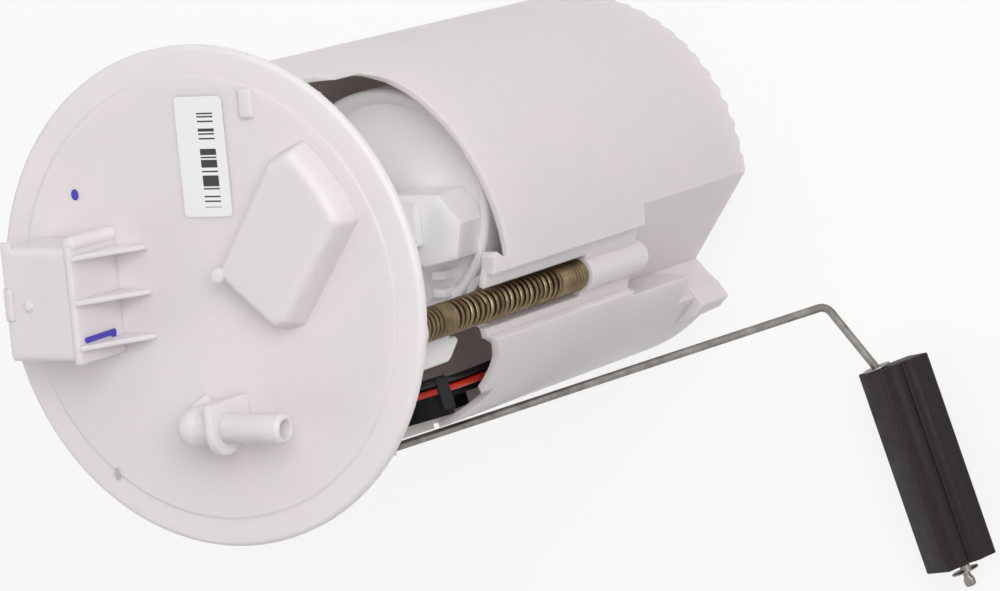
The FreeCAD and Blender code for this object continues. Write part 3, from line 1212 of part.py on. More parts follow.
filter_canister()
pump_cap()
filter_element()
pump_case()
pump_top_cover()
pump_inlet_cover()
channel_plate()
impeller()
armature()
commutator()
rotor_shaft()
motor_magnets()
top_bush()
brushes()
brush_springs()
check_valve()
isolator_ring()
inlet_strainer()
foot_valve()
regulator()
jet_pump()
sender_housing()
sender_card()
arm_hub()
arm_wire()
float_block()
float_washers()
wiper_contact()
sender_terminals()
harness_plug()
pump_plug()
fuel_hose()
pump_leads()


def finish():
    """Recompute, test every object and write each piece."""
    doc.recompute()
    for item in doc.Objects:
        if "Invalid" in item.State or "Error" in item.State:
            raise RuntimeError(f"{item.Name} ({item.Label}) failed: {item.State}")
    os.makedirs("parts", exist_ok=True)
    for name, item in nodes.items():
        shape = item.Shape
        if shape.isNull() or not shape.isValid() or not shape.Solids:
            raise RuntimeError(f"{name} is not a valid solid")
        shape.exportStep(f"parts/{name}.step")
        print(f"{name}: {len(shape.Solids)} solid(s), {shape.Volume:.0f} cubic mm")


finish()
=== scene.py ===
"""Looks of an in-tank fuel pump module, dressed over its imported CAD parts.

Row frame, in metres: origin at the centre of the flange's seat face, +Z out of the tank,
+X along the hose spigot, +Y towards the label. Named sizes are in millimetres, and MM turns
them to metres where they are used; those in metres say so.
"""
import math
import bpy
from mathutils import Matrix, Vector


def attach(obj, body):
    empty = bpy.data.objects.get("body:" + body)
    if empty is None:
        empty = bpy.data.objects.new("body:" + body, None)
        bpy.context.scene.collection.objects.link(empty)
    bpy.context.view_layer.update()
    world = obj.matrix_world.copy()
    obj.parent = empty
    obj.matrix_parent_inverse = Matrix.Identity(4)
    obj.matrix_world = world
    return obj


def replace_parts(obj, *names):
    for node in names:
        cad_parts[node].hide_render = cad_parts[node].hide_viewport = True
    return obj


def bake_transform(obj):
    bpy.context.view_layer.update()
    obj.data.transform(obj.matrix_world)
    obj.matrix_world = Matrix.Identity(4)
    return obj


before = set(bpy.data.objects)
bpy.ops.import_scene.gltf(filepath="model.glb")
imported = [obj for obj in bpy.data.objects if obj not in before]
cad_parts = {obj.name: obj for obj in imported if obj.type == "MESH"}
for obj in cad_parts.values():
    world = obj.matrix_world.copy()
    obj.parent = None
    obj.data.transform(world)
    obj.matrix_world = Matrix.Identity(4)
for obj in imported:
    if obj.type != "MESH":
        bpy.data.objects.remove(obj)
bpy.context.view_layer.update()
bpy.ops.object.select_all(action="DESELECT")
MM = 0.001


# Camera at the photograph's place: its eye in metres and the directions of its picture
CAMERA_EYE = Vector((0.7039, 0.1724, 0.9656))
CAMERA_RIGHT = Vector((0.8480, -0.0932, -0.5218))
CAMERA_DOWN = Vector((-0.0001, -0.9845, 0.1756))
CAMERA_AHEAD = Vector((-0.5301, -0.1488, -0.8348))
LENS = 162
SENSOR_WIDTH = 36
FARTHEST_SEEN = 10  # metres


def camera():
    """The scene's camera, a long lens at the eye above."""
    turn = Matrix((CAMERA_RIGHT, -CAMERA_DOWN, -CAMERA_AHEAD)).transposed()
    data = bpy.data.cameras.new("photo_camera")
    data.lens = LENS
    data.sensor_width = SENSOR_WIDTH
    data.clip_end = FARTHEST_SEEN
    made = bpy.data.objects.new("photo_camera", data)
    made.matrix_world = Matrix.Translation(CAMERA_EYE) @ turn.to_4x4()
    bpy.context.scene.collection.objects.link(made)
    bpy.context.scene.camera = made


camera()


# Materials, from their shader nodes
def linear(code):
    """The linear colour of an sRGB hex value."""
    parts = [int(code[i:i + 2], 16) / 255 for i in (1, 3, 5)]
    return [c / 12.92 if c <= 0.04045 else ((c + 0.055) / 1.055) ** 2.4 for c in parts] + [1.0]


def add(tree, kind, links=None, **settings):
    """Add a node with its settings and links; a link's key is a socket's name or number."""
    made = tree.nodes.new(kind)
    for name, value in settings.items():
        setattr(made, name, value)
    for key, value in (links or {}).items():
        socket = made.inputs[key]
        if isinstance(value, bpy.types.NodeSocket):
            tree.links.new(value, socket)
        else:
            socket.default_value = value
    return made


def shader(name, **sockets):
    """A new material with a Principled shader; returns the material, its tree, shader and place."""
    material = bpy.data.materials.new(name)
    material.use_nodes = True
    tree = material.node_tree
    skin = tree.nodes["Principled BSDF"]
    for key, value in sockets.items():
        skin.inputs[key.replace("_", " ")].default_value = value
    place = add(tree, "ShaderNodeTexCoord").outputs["Object"]
    return material, tree, skin, place


# Numbers of a colour Mix node's sockets, whose names it shares with its other kinds
SHARE, FIRST, SECOND = 0, 6, 7
MIXED = 2

FLOW_CLOUD = 22.2  # one cloud of the melt's flow in a moulded wall
HANDLING_STAIN = 4.55  # one stain on handled metal
GRAIN_HEIGHT = 0.05
DIE_LINE_HEIGHT = 0.02
MILK_REACH = (1.0, 0.96, 0.92)  # shares of the depth for red, green and blue light


def moulded(name, light, dark, roughness, grain, relief, edge=0.35, through=0.0, depth=1.0, shine=0.5):
    """Moulded plastic: cloudy flow in the colour, a fine eroded grain, and edges softened by edge.

    through and depth are how much light passes into an unfilled plastic, and how deep. A tool's real
    grain is under 0.1 mm, too fine to show, so it is drawn as coarse as grain says.
    """
    material, tree, skin, place = shader(
        name, IOR=1.48, Specular_IOR_Level=shine, Subsurface_Weight=through,
        Subsurface_Scale=depth * MM, Subsurface_Radius=MILK_REACH)
    flow = add(tree, "ShaderNodeTexNoise",
               {"Vector": place, "Scale": 1 / (FLOW_CLOUD * MM), "Detail": 4.0, "Roughness": 0.6})
    tint = add(tree, "ShaderNodeMix",
               {SHARE: flow.outputs["Fac"], FIRST: linear(dark), SECOND: linear(light)}, data_type="RGBA")
    tree.links.new(tint.outputs[MIXED], skin.inputs["Base Color"])
    gloss = add(tree, "ShaderNodeMapRange",
                {"Value": flow.outputs["Fac"], "From Min": 0.3, "From Max": 0.7,
                 "To Min": roughness - 0.05, "To Max": roughness + 0.06})
    tree.links.new(gloss.outputs[0], skin.inputs["Roughness"])
    erosion = add(tree, "ShaderNodeTexNoise", {"Vector": place, "Scale": 1 / (grain * MM), "Detail": 2.0})
    corner = add(tree, "ShaderNodeBevel", {"Radius": edge * MM}, samples=4)
    bump = add(tree, "ShaderNodeBump",
               {"Strength": relief, "Distance": GRAIN_HEIGHT * MM, "Height": erosion.outputs["Fac"],
                "Normal": corner.outputs["Normal"]})
    tree.links.new(bump.outputs["Normal"], skin.inputs["Normal"])
    return material


def drawn_metal(name, light, dark, roughness, line):
    """Drawn or ground metal: the colour wanders with handling, and fine lines break the gloss.

    Real die lines are a few hundredths of a millimetre wide, too fine to show, so they are drawn as
    coarse as line says.
    """
    material, tree, skin, place = shader(name, Metallic=1.0)
    stain = add(tree, "ShaderNodeTexNoise",
                {"Vector": place, "Scale": 1 / (HANDLING_STAIN * MM), "Detail": 5.0, "Roughness": 0.65})
    spread = add(tree, "ShaderNodeMapRange",
                 {"Value": stain.outputs["Fac"], "From Min": 0.35, "From Max": 0.68})
    tint = add(tree, "ShaderNodeMix",
               {SHARE: spread.outputs[0], FIRST: linear(dark), SECOND: linear(light)}, data_type="RGBA")
    tree.links.new(tint.outputs[MIXED], skin.inputs["Base Color"])
    lines = add(tree, "ShaderNodeTexNoise", {"Vector": place, "Scale": 1 / (line * MM), "Detail": 3.0})
    gloss = add(tree, "ShaderNodeMapRange",
                {"Value": lines.outputs["Fac"], "From Min": 0.3, "From Max": 0.7,
                 "To Min": roughness - 0.07, "To Max": roughness + 0.1})
    tree.links.new(gloss.outputs[0], skin.inputs["Roughness"])
    bump = add(tree, "ShaderNodeBump",
               {"Strength": 0.25, "Distance": DIE_LINE_HEIGHT * MM, "Height": lines.outputs["Fac"]})
    tree.links.new(bump.outputs["Normal"], skin.inputs["Normal"])
    return material


FOAM_CELL = 0.55  # drawn coarser than the real cells, which are too fine to show
FOAM_CLOUD = 7.7
CELL_DEPTH = 0.06


def float_foam():
    """Closed-cell nitrile foam, moulded and trimmed: near-black brown, with a skin of broken cells."""
    material, tree, skin, place = shader("nitrile_foam", IOR=1.5, Specular_IOR_Level=0.25)
    cells = add(tree, "ShaderNodeTexVoronoi", {"Vector": place, "Scale": 1 / (FOAM_CELL * MM)})
    cloud = add(tree, "ShaderNodeTexNoise",
                {"Vector": place, "Scale": 1 / (FOAM_CLOUD * MM), "Detail": 6.0})
    tint = add(tree, "ShaderNodeMix",
               {SHARE: cloud.outputs["Fac"], FIRST: linear("#171311"), SECOND: linear("#26201D")},
               data_type="RGBA")
    tree.links.new(tint.outputs[MIXED], skin.inputs["Base Color"])
    gloss = add(tree, "ShaderNodeMapRange",
                {"Value": cloud.outputs["Fac"], "From Min": 0.3, "From Max": 0.7,
                 "To Min": 0.5, "To Max": 0.66})
    tree.links.new(gloss.outputs[0], skin.inputs["Roughness"])
    bump = add(tree, "ShaderNodeBump",
               {"Strength": 0.5, "Distance": CELL_DEPTH * MM, "Height": cells.outputs["Distance"]})
    tree.links.new(bump.outputs["Normal"], skin.inputs["Normal"])
    return material


NARROWEST_BAR = 0.42
PALE_SHARE = 0.47  # share of the field's steps that stay white
BAR_ENDS = (3.0, 8.2)  # along X
BAR_FIELD = (24.6, 51.4)  # along Y


def label_film():
    """Printed polyester film: glossy white, with one field of dark bars whose widths come by chance."""
    material, tree, skin, place = shader("label_film", IOR=1.5, Roughness=0.3)
    apart = add(tree, "ShaderNodeSeparateXYZ", {0: place})
    run, across = apart.outputs["Y"], apart.outputs["X"]
    step = add(tree, "ShaderNodeMath", {0: run, 1: NARROWEST_BAR * MM}, operation="DIVIDE")
    cell = add(tree, "ShaderNodeMath", {0: step.outputs[0]}, operation="FLOOR")
    chance = add(tree, "ShaderNodeTexWhiteNoise", {"W": cell.outputs[0]}, noise_dimensions="1D")
    dark = add(tree, "ShaderNodeMath", {0: chance.outputs["Value"], 1: PALE_SHARE},
               operation="GREATER_THAN")
    inside = []
    for source, (low, high) in ((across, BAR_ENDS), (run, BAR_FIELD)):
        above = add(tree, "ShaderNodeMath", {0: source, 1: low * MM}, operation="GREATER_THAN")
        below = add(tree, "ShaderNodeMath", {0: source, 1: high * MM}, operation="LESS_THAN")
        inside.append(add(tree, "ShaderNodeMath", {0: above.outputs[0], 1: below.outputs[0]},
                          operation="MULTIPLY"))
    field = add(tree, "ShaderNodeMath", {0: inside[0].outputs[0], 1: inside[1].outputs[0]},
                operation="MULTIPLY")
    bars = add(tree, "ShaderNodeMath", {0: field.outputs[0], 1: dark.outputs[0]}, operation="MULTIPLY")
    tint = add(tree, "ShaderNodeMix",
               {SHARE: bars.outputs[0], FIRST: linear("#F4F4F2"), SECOND: linear("#2B2A2E")},
               data_type="RGBA")
    tree.links.new(tint.outputs[MIXED], skin.inputs["Base Color"])
    return material


# Unfilled acetal, moulded: a milky, faintly rosy white whose edges glow, because light sinks in
ACETAL = moulded("pot_acetal", "#E4D9D9", "#D9D4D6", roughness=0.4, grain=0.6, relief=0.3,
                 edge=0.5, through=0.8, depth=4.0)
# The cap's acetal: the same, but painted nearly pure white, painted light that keeps it light in the shade
# of the cover
CAP_ACETAL_PAINTED_LIGHT = moulded("cap_acetal_painted_light", "#FAF6F7", "#F4F2F4", roughness=0.38, grain=0.5, relief=0.3,
                     edge=0.6, through=0.8, depth=4.0)
# The cover's acetal: painted a little lighter than the pot, as painted light for the brighter light on its
# top; its rounder edges catch a broad soft light
COVER_PAINTED_LIGHTER = moulded("cover_acetal_painted_lighter", "#ECE3E3", "#E2DFE2", roughness=0.42, grain=0.5, relief=0.25,
                edge=0.9, through=0.8, depth=4.0)
# Glass-filled nylon, moulded: dull dark grey, its gloss broken by fibre ends
GLASS_NYLON = moulded("glass_filled_nylon", "#4C4B4C", "#3E3D3E", roughness=0.5, grain=0.35, relief=0.5)
# Black nylon, moulded: deep black with a weak sheen, so that only its edges show
BLACK_NYLON = moulded("black_nylon", "#101012", "#0A0A0C", roughness=0.45, grain=0.4, relief=0.3, shine=0.2)
# Extruded nylon, corrugated: black, with a small highlight on each rib
HOSE_NYLON = moulded("hose_nylon", "#1B1B1D", "#131315", roughness=0.33, grain=0.4, relief=0.2)
# Extruded lead sleeve, red: smooth and clear in colour, with one long highlight
RED_SLEEVE = moulded("red_lead_sleeve", "#CF3018", "#B52712", roughness=0.34, grain=0.3, relief=0.15,
                     edge=0.1)
# Extruded lead sleeve, black: a thin grey highlight is all that sets it off
BLACK_SLEEVE = moulded("black_lead_sleeve", "#121214", "#0C0C0E", roughness=0.4, grain=0.3, relief=0.15,
                       edge=0.1)
# Nitrile rubber, moulded: soft grey-black without a highlight
NITRILE = moulded("nitrile_rubber", "#262526", "#1C1B1C", roughness=0.62, grain=0.4, relief=0.5)
# Alumina card, fired: pale bone with an even, dry gloss
CERAMIC = moulded("thick_film_ceramic", "#C9C2AE", "#B9B29E", roughness=0.45, grain=0.3, relief=0.2)
# Resin-bonded filter paper, pleated: dry straw yellow with a fibrous skin
PLEATS = moulded("pleated_paper", "#D8C089", "#C7AE76", roughness=0.85, grain=0.25, relief=0.9)
# Polyamide screen, woven: off-white, with an uneven relief in place of the weave, too fine to show
SCREEN = moulded("woven_screen", "#D6D6CF", "#B8B8AF", roughness=0.6, grain=0.3, relief=1.0)
# Ferrite, pressed and sintered: charcoal grey, dry and a little grainy
FERRITE = moulded("sintered_ferrite", "#4A4A4D", "#38383B", roughness=0.7, grain=0.2, relief=0.8)
# Graphite, pressed: dark slate grey with a greasy gloss
GRAPHITE = moulded("pressed_graphite", "#3B3B3D", "#2A2A2C", roughness=0.55, grain=0.2, relief=0.5)
# Copper windings, lacquered: glossy red-brown with an uneven skin
WINDINGS = moulded("lacquered_windings", "#9A5230", "#7C3C22", roughness=0.3, grain=0.35, relief=0.8)
# Spring wire, zinc plated and passivated: dull brown brass with a glint on each coil
PLATED_WIRE = drawn_metal("plated_spring_wire", "#8E7B5E", "#6A5A46", roughness=0.36, line=0.12)
# Stainless wire, drawn: plain grey, its highlight broken by die lines
DRAWN_STEEL = drawn_metal("drawn_steel_wire", "#9A9693", "#77736F", roughness=0.4, line=0.15)
# Steel, ground: bright and even
GROUND_STEEL = drawn_metal("ground_steel", "#C4C3C0", "#AAA8A4", roughness=0.24, line=0.2)
# Steel rod: dark brown, so that it sinks back behind the coils
DARK_BROWN_ROD = drawn_metal("dark_brown_rod", "#4E463B", "#352F27", roughness=0.5, line=0.2)
# Brass, stamped and tinned: pale yellow with a smooth gloss
BRASS = drawn_metal("tinned_brass", "#D2BD8A", "#B59C63", roughness=0.3, line=0.2)
# Marker ink on plastic: thin, violet blue and a little glossy
INK = moulded("marker_ink", "#4A3FC4", "#3A30A8", roughness=0.4, grain=0.3, relief=0.1, edge=0.05)
# Gate scar, snapped off: a small dull grey spot on the white
GATE = moulded("gate_scar", "#C3C2C5", "#B5B4B8", roughness=0.55, grain=0.3, relief=0.5, edge=0.1)
# Foam and film, as their functions say
FOAM = float_foam()
LABEL = label_film()

FINISHES = {
    COVER_PAINTED_LIGHTER: ["flange_cover"],
    ACETAL: ["surge_pot", "filter_canister", "arm_hub", "jet_pump_body", "jet_nozzle", "check_retainer",
             "check_poppet"],
    CAP_ACETAL_PAINTED_LIGHT: ["pump_cap"],
    GLASS_NYLON: ["pump_top_cover", "pump_inlet_cover", "channel_plate", "impeller"],
    BLACK_NYLON: ["sender_housing", "harness_plug", "pump_plug"],
    NITRILE: ["isolator_ring", "foot_valve"],
    CERAMIC: ["sender_card"],
    PLEATS: ["filter_element"],
    SCREEN: ["inlet_strainer"],
    FERRITE: ["motor_magnets"],
    GRAPHITE: ["brushes"],
    WINDINGS: ["armature"],
    PLATED_WIRE: ["check_spring", "regulator_spring", "brush_springs"],
    DRAWN_STEEL: ["arm_wire", "float_washers"],
    GROUND_STEEL: ["rotor_shaft", "pump_case", "regulator_body", "regulator_ball"],
    DARK_BROWN_ROD: ["guide_rod_front", "guide_rod_rear"],
    BRASS: ["contact_blades", "sender_terminals", "commutator", "wiper_contact", "top_bush"],
}
for finish, names in FINISHES.items():
    for name in names:
        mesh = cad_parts[name].data
        mesh.materials.clear()
        mesh.materials.append(finish)


# Making pieces
def select_only(*pieces):
    """Select the given pieces, the last one active."""
    bpy.ops.object.select_all(action="DESELECT")
    for piece in pieces:
        piece.select_set(True)
    bpy.context.view_layer.objects.active = pieces[-1]


def settle(piece, finish, place=None):
    """Apply a piece's place, so that its object sits at the origin, and give it its finish."""
    if place is not None:
        piece.data.transform(place)
    select_only(piece)
    bpy.ops.object.transform_apply(location=True, rotation=True, scale=True)
    piece.data.materials.clear()
    piece.data.materials.append(finish)
    return piece


def bevelled(piece, width, segments, angle):
    """Round the edges that turn by more than an angle in degrees."""
    select_only(piece)
    edge = piece.modifiers.new("Bevel", "BEVEL")
    edge.width = width
    edge.segments = segments
    edge.limit_method = "ANGLE"
    edge.angle_limit = math.radians(angle)
    bpy.ops.object.modifier_apply(modifier=edge.name)
    bpy.ops.object.shade_smooth_by_angle(angle=math.radians(40))


def outline_solid(name, outline, height, low=0.0):
    """A solid of an outline of (x, y) points, raised along Z from low by an extrusion."""
    bpy.ops.mesh.primitive_circle_add(vertices=len(outline), radius=1, fill_type="NGON", location=(0, 0, 0))
    piece = bpy.context.object
    piece.name = name
    for vertex, (x, y) in zip(piece.data.vertices, outline):
        vertex.co = (x, y, low)
    select_only(piece)
    bpy.ops.object.mode_set(mode="EDIT")
    bpy.ops.mesh.select_mode(type="FACE")
    bpy.ops.mesh.select_all(action="SELECT")
    bpy.ops.mesh.extrude_region_move(TRANSFORM_OT_translate={"value": (0, 0, height)})
    bpy.ops.mesh.select_all(action="SELECT")
    bpy.ops.mesh.normals_make_consistent(inside=False)
    bpy.ops.object.mode_set(mode="OBJECT")
    return piece


def smooth_line(points):
    """Points read from the NURBS spline whose control points are a route's points."""
    data = bpy.data.curves.new("route", "CURVE")
    data.dimensions = "3D"
    data.resolution_u = 16
    spline = data.splines.new("NURBS")
    spline.points.add(len(points) - 1)
    for point, place in zip(spline.points, points):
        point.co = (*place, 1)
    spline.order_u = 3
    spline.use_endpoint_u = True
    holder = bpy.data.objects.new("route", data)
    bpy.context.scene.collection.objects.link(holder)
    mesh = bpy.data.meshes.new_from_object(holder)
    line = [vertex.co.copy() for vertex in mesh.vertices]
    bpy.data.meshes.remove(mesh)
    bpy.data.objects.remove(holder)
    return line


def along(line, step):
    """A line's points at equal steps with their distances from its start, and the line's length."""
    marks, length = [(0.0, line[0])], 0.0
    for a, b in zip(line, line[1:]):
        length += (b - a).length
        marks.append((length, b))
    count = max(2, round(length / step))
    even, index = [], 0
    for i in range(count + 1):
        wanted = length * i / count
        while index < len(marks) - 2 and marks[index + 1][0] < wanted:
            index += 1
        (low, a), (high, b) = marks[index], marks[index + 1]
        even.append((wanted, a.lerp(b, min(1.0, (wanted - low) / max(1e-9, high - low)))))
    return even, length


def skinned(name, stations, sides, finish):
    """A closed tube through stations of (centre, radius), its rings turned as little as possible."""
    points, faces = [], []
    heading = (stations[1][0] - stations[0][0]).normalized()
    side = heading.orthogonal().normalized()
    for i, (centre, radius) in enumerate(stations):
        ahead = stations[min(i + 1, len(stations) - 1)][0]
        behind = stations[max(i - 1, 0)][0]
        if (ahead - behind).length > 1e-9:
            heading = (ahead - behind).normalized()
        side = (side - heading * side.dot(heading)).normalized()
        up = heading.cross(side)
        for k in range(sides):
            angle = 2 * math.pi * k / sides
            points.append(centre + (side * math.cos(angle) + up * math.sin(angle)) * radius)
    for ring in range(len(stations) - 1):
        for k in range(sides):
            this, beside = ring * sides + k, ring * sides + (k + 1) % sides
            faces.append((this, beside, beside + sides, this + sides))
    faces.append(tuple(range(sides))[::-1])
    faces.append(tuple(range(len(points) - sides, len(points))))
    mesh = bpy.data.meshes.new(name)
    mesh.from_pydata(points, [], faces)
    piece = bpy.data.objects.new(name, mesh)
    bpy.context.scene.collection.objects.link(piece)
    select_only(piece)
    bpy.ops.object.mode_set(mode="EDIT")
    bpy.ops.mesh.select_all(action="SELECT")
    bpy.ops.mesh.normals_make_consistent(inside=False)
    bpy.ops.object.mode_set(mode="OBJECT")
    bpy.ops.object.shade_smooth_by_angle(angle=math.radians(45))
    return settle(piece, finish)


# Cords inside the module: the corrugated feed hose and the pump's two leads
HOSE_RADIUS = 5.2
LEAD_RADIUS = 0.95
RIB_PITCH = 3.2
RIB_DEPTH = 0.75
STATIONS_PER_RIB = 8
PLAIN_STEP = 0.8

HOSE_ROUTE = [(0.4, -33, -9), (0.4, -33, -48), (-26, -33, -60), (-40, -20, -60), (-34, -6, -60),
              (-8, -6, -60)]
RED_ROUTE = [(-38, -6, -24.02), (-38, -6, -36), (-34, -30, -43), (-12, -46, -51), (7.1, -42.96, -59.6),
             (32.04, -36.74, -59.6), (33.2, -36.45, -78), (33.6, -35.6, -97), (25.8, -25.15, -102)]
BLACK_ROUTE = [(-38, 0, -24.02), (-38, 0, -36), (-31.5, -26, -43), (-11.5, -43.4, -51),
               (6.56, -40.78, -59.6), (31.48, -34.51, -59.6), (32.64, -34.22, -75.4),
               (33.04, -33.37, -93.8), (25.8, -25.2, -98.4)]


def below_crest(distance, rib_pitch):
    """How far a corrugated hose's wall lies under its ribs' rounded crests, in millimetres."""
    wave = 0.5 - 0.5 * math.cos(2 * math.pi * distance / (rib_pitch * MM))
    return RIB_DEPTH - wave ** 0.7 * RIB_DEPTH


def held_cord(name, route, radius, finish, swap, rib_pitch=0.0):
    """A cord along its route, ribbed where it has a rib pitch."""
    line = smooth_line([Vector(point) * MM for point in route])
    even, length = along(line, (rib_pitch / STATIONS_PER_RIB if rib_pitch else PLAIN_STEP) * MM)
    stations = [(centre, (radius - (below_crest(distance, rib_pitch) if rib_pitch else 0.0)) * MM)
                for distance, centre in even]
    cord = skinned(name, stations, sides=28 if rib_pitch else 14, finish=finish)
    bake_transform(cord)
    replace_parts(cord, swap)


held_cord("corrugated_hose", HOSE_ROUTE, HOSE_RADIUS, HOSE_NYLON, "fuel_hose",
          rib_pitch=RIB_PITCH)
held_cord("red_lead", RED_ROUTE, LEAD_RADIUS, RED_SLEEVE, "pump_lead_red")
held_cord("black_lead", BLACK_ROUTE, LEAD_RADIUS, BLACK_SLEEVE, "pump_lead_black")


# Guide springs: open coils at the cover, a close-wound run, even coils, then close-wound at the seat
FRONT_ROD, REAR_ROD = (48, -13), (-48, 13)
COIL_RADIUS = 4.05
WIRE_RADIUS = 0.63
COIL_HEIGHTS = [(0.0, -21.15), (1.0, -22.42), (6.0, -32.6), (11.2, -39.2), (32.2, -93.3), (37.3, -99.8),
                (41.8, -107.05), (42.8, -108.36)]  # (turns from the top, height)
STATIONS_PER_TURN = 20


def guide_spring(name, x, y):
    """A guide spring round its rod at (x, y), its pitch following the table of heights."""
    stations, stretch = [], 0
    for i in range(int(COIL_HEIGHTS[-1][0] * STATIONS_PER_TURN)):
        turn = i / STATIONS_PER_TURN
        while turn > COIL_HEIGHTS[stretch + 1][0]:
            stretch += 1
        (t0, z0), (t1, z1) = COIL_HEIGHTS[stretch], COIL_HEIGHTS[stretch + 1]
        angle = 2 * math.pi * turn
        z = z0 + (z1 - z0) * (turn - t0) / (t1 - t0)
        centre = Vector((x + COIL_RADIUS * math.cos(angle), y + COIL_RADIUS * math.sin(angle), z)) * MM
        stations.append((centre, WIRE_RADIUS * MM))
    spring = skinned(name, stations, sides=8, finish=PLATED_WIRE)
    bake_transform(spring)
    return spring


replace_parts(guide_spring("coil_front", *FRONT_ROD), "spring_front")
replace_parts(guide_spring("coil_rear", *REAR_ROD), "spring_rear")


# Float arm's end, in the arm's own frame: wire down -Z, outside at -Y
SENDER_TURN = 14  # degrees about Z
ARM_SWING = -33.55  # degrees about the hinge
ARM_PIVOT = Vector((-0.0192, -0.056, -0.0656))  # metres, before the sender's turn
FLOAT_LEG_START, FLOAT_LEG_END = Vector((0, -22.4, -167.5)), Vector((0, -87.7, -175.8))


def arm_to_row():
    """From the arm's own frame to the row's."""
    to_sender = Matrix.Rotation(math.radians(SENDER_TURN), 4, "Z")
    pivot = to_sender @ ARM_PIVOT
    return Matrix.Translation(pivot) @ to_sender @ Matrix.Rotation(math.radians(ARM_SWING), 4, "Y")


def float_axis():
    """The wire's leg through the float, in metres: its start, its end and its direction."""
    start, end = FLOAT_LEG_START * MM, FLOAT_LEG_END * MM
    return start, end, (end - start).normalized()


def rod(name, start, end, radius, sides=24):
    """A plain cylinder between two points."""
    bpy.ops.mesh.primitive_cylinder_add(vertices=sides, radius=radius, depth=(end - start).length)
    piece = bpy.context.object
    piece.name = name
    turn = (end - start).to_track_quat("Z", "Y").to_matrix().to_4x4()
    piece.matrix_world = Matrix.Translation((start + end) / 2) @ turn
    select_only(piece)
    bpy.ops.object.transform_apply(location=True, rotation=True, scale=True)
    return piece


def drill_through(piece, start, end, radius):
    """Bore a piece through along a line."""
    drill = rod("drill", start, end, radius)
    select_only(piece)
    bore = piece.modifiers.new("Bore", "BOOLEAN")
    bore.operation = "DIFFERENCE"
    bore.object = drill
    bpy.ops.object.modifier_apply(modifier=bore.name)
    bpy.data.objects.remove(drill)


FLOAT_DEEP, FLOAT_WIDE, FLOAT_LONG = 7.0, 18.2, 63.2
FLOAT_CORNER = (0, -22.9, -164.4)  # where the section starts, in the arm's frame
FLOAT_LEAN = 2.2  # degrees below the arm frame's level; the wire's leg through it falls by 7
FLOAT_EDGE = 0.4
DRILL_RUN_OUT = 10
FLOAT_BORE_RADIUS = 1.9
# The face's profile, as (share of the width, height): two soft ridges with a groove between them
FLOAT_FACE = [(0.0, 6.6), (0.06, 7.0), (0.2, 6.2), (0.31, 7.0), (0.4, 6.6), (0.47, 5.3), (0.53, 6.4),
              (0.61, 7.3), (0.7, 6.9), (0.82, 6.0), (0.93, 5.9), (0.99, 5.4), (1.0, 4.4)]


def float_piece():
    """Foam block extruded from its profile, with one flat facet, bored along the wire."""
    face = [Vector((height, -share * FLOAT_WIDE, 0)) for share, height in FLOAT_FACE]
    rounded_face = [tuple(point * MM)[:2] for point in smooth_line(face)[::4]]
    outline = [(-FLOAT_DEEP * MM, -FLOAT_WIDE * MM), (-FLOAT_DEEP * MM, 0)] + rounded_face
    block = outline_solid("foam_float", outline, FLOAT_LONG * MM)
    bevelled(block, width=FLOAT_EDGE * MM, segments=3, angle=50)
    corner = Matrix.Translation(Vector(FLOAT_CORNER) * MM)
    lean = Matrix.Rotation(math.radians(FLOAT_LEAN), 4, "X")
    laid_down = Matrix.Rotation(math.radians(90), 4, "X")
    block.data.transform(corner @ lean @ laid_down)
    start, end, ahead = float_axis()
    run_out = ahead * (DRILL_RUN_OUT * MM)
    drill_through(block, start - run_out, end + run_out, FLOAT_BORE_RADIUS * MM)
    bpy.ops.object.shade_smooth_by_angle(angle=math.radians(35))
    settle(block, FOAM, arm_to_row())
    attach(block, "float")
    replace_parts(block, "float_block")


WASHER_THICK = 0.45
WASHER_RADIUS, WASHER_HOLE_RADIUS = 4.2, 1.42
WASHER_EDGE = 0.1
WASHER_DRILL_HALF = 4


def washers():
    """Push-on washers at the float's two ends, their rims softened by tumbling."""
    start, end, ahead = float_axis()
    rings = []
    for seat, out in ((start, -1), (end, 1)):
        ring = rod("washer", seat, seat + ahead * out * WASHER_THICK * MM, WASHER_RADIUS * MM, sides=40)
        reach = ahead * (WASHER_DRILL_HALF * MM)
        drill_through(ring, seat - reach, seat + reach, WASHER_HOLE_RADIUS * MM)
        bevelled(ring, width=WASHER_EDGE * MM, segments=2, angle=40)
        rings.append(ring)
    select_only(*rings)
    bpy.ops.object.join()
    pair = bpy.context.object
    pair.name = "retaining_washers"
    settle(pair, DRAWN_STEEL, arm_to_row())
    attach(pair, "float_arm")
    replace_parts(pair, "float_washers")


# The wire's end, as (reach past the float, radius), and the half width that the pinch leaves
PINCHED_PROFILE = [(-1.0, 1.18), (1.9, 1.16), (2.3, 1.3), (2.7, 1.62), (3.4, 1.72), (4.6, 1.66),
                   (5.0, 1.45), (5.15, 1.1)]
PINCH_STARTS = 2.0
PINCH_HALF = 1.15


def pinched_end():
    """The wire's end past the float, swaged flat on two sides so that the washer stays on."""
    _, end, ahead = float_axis()
    stations = [(end + ahead * (reach * MM), radius * MM) for reach, radius in PINCHED_PROFILE]
    knob = skinned("pinched_wire_end", stations, sides=20, finish=DRAWN_STEEL)
    side = ahead.orthogonal().normalized()
    for vertex in knob.data.vertices:
        off = (vertex.co - end).dot(side)
        if (vertex.co - end).dot(ahead) > PINCH_STARTS * MM and abs(off) > PINCH_HALF * MM:
            vertex.co -= side * (off - math.copysign(PINCH_HALF * MM, off))
    settle(knob, DRAWN_STEEL, arm_to_row())
    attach(knob, "float_arm")


float_piece()
washers()
pinched_end()


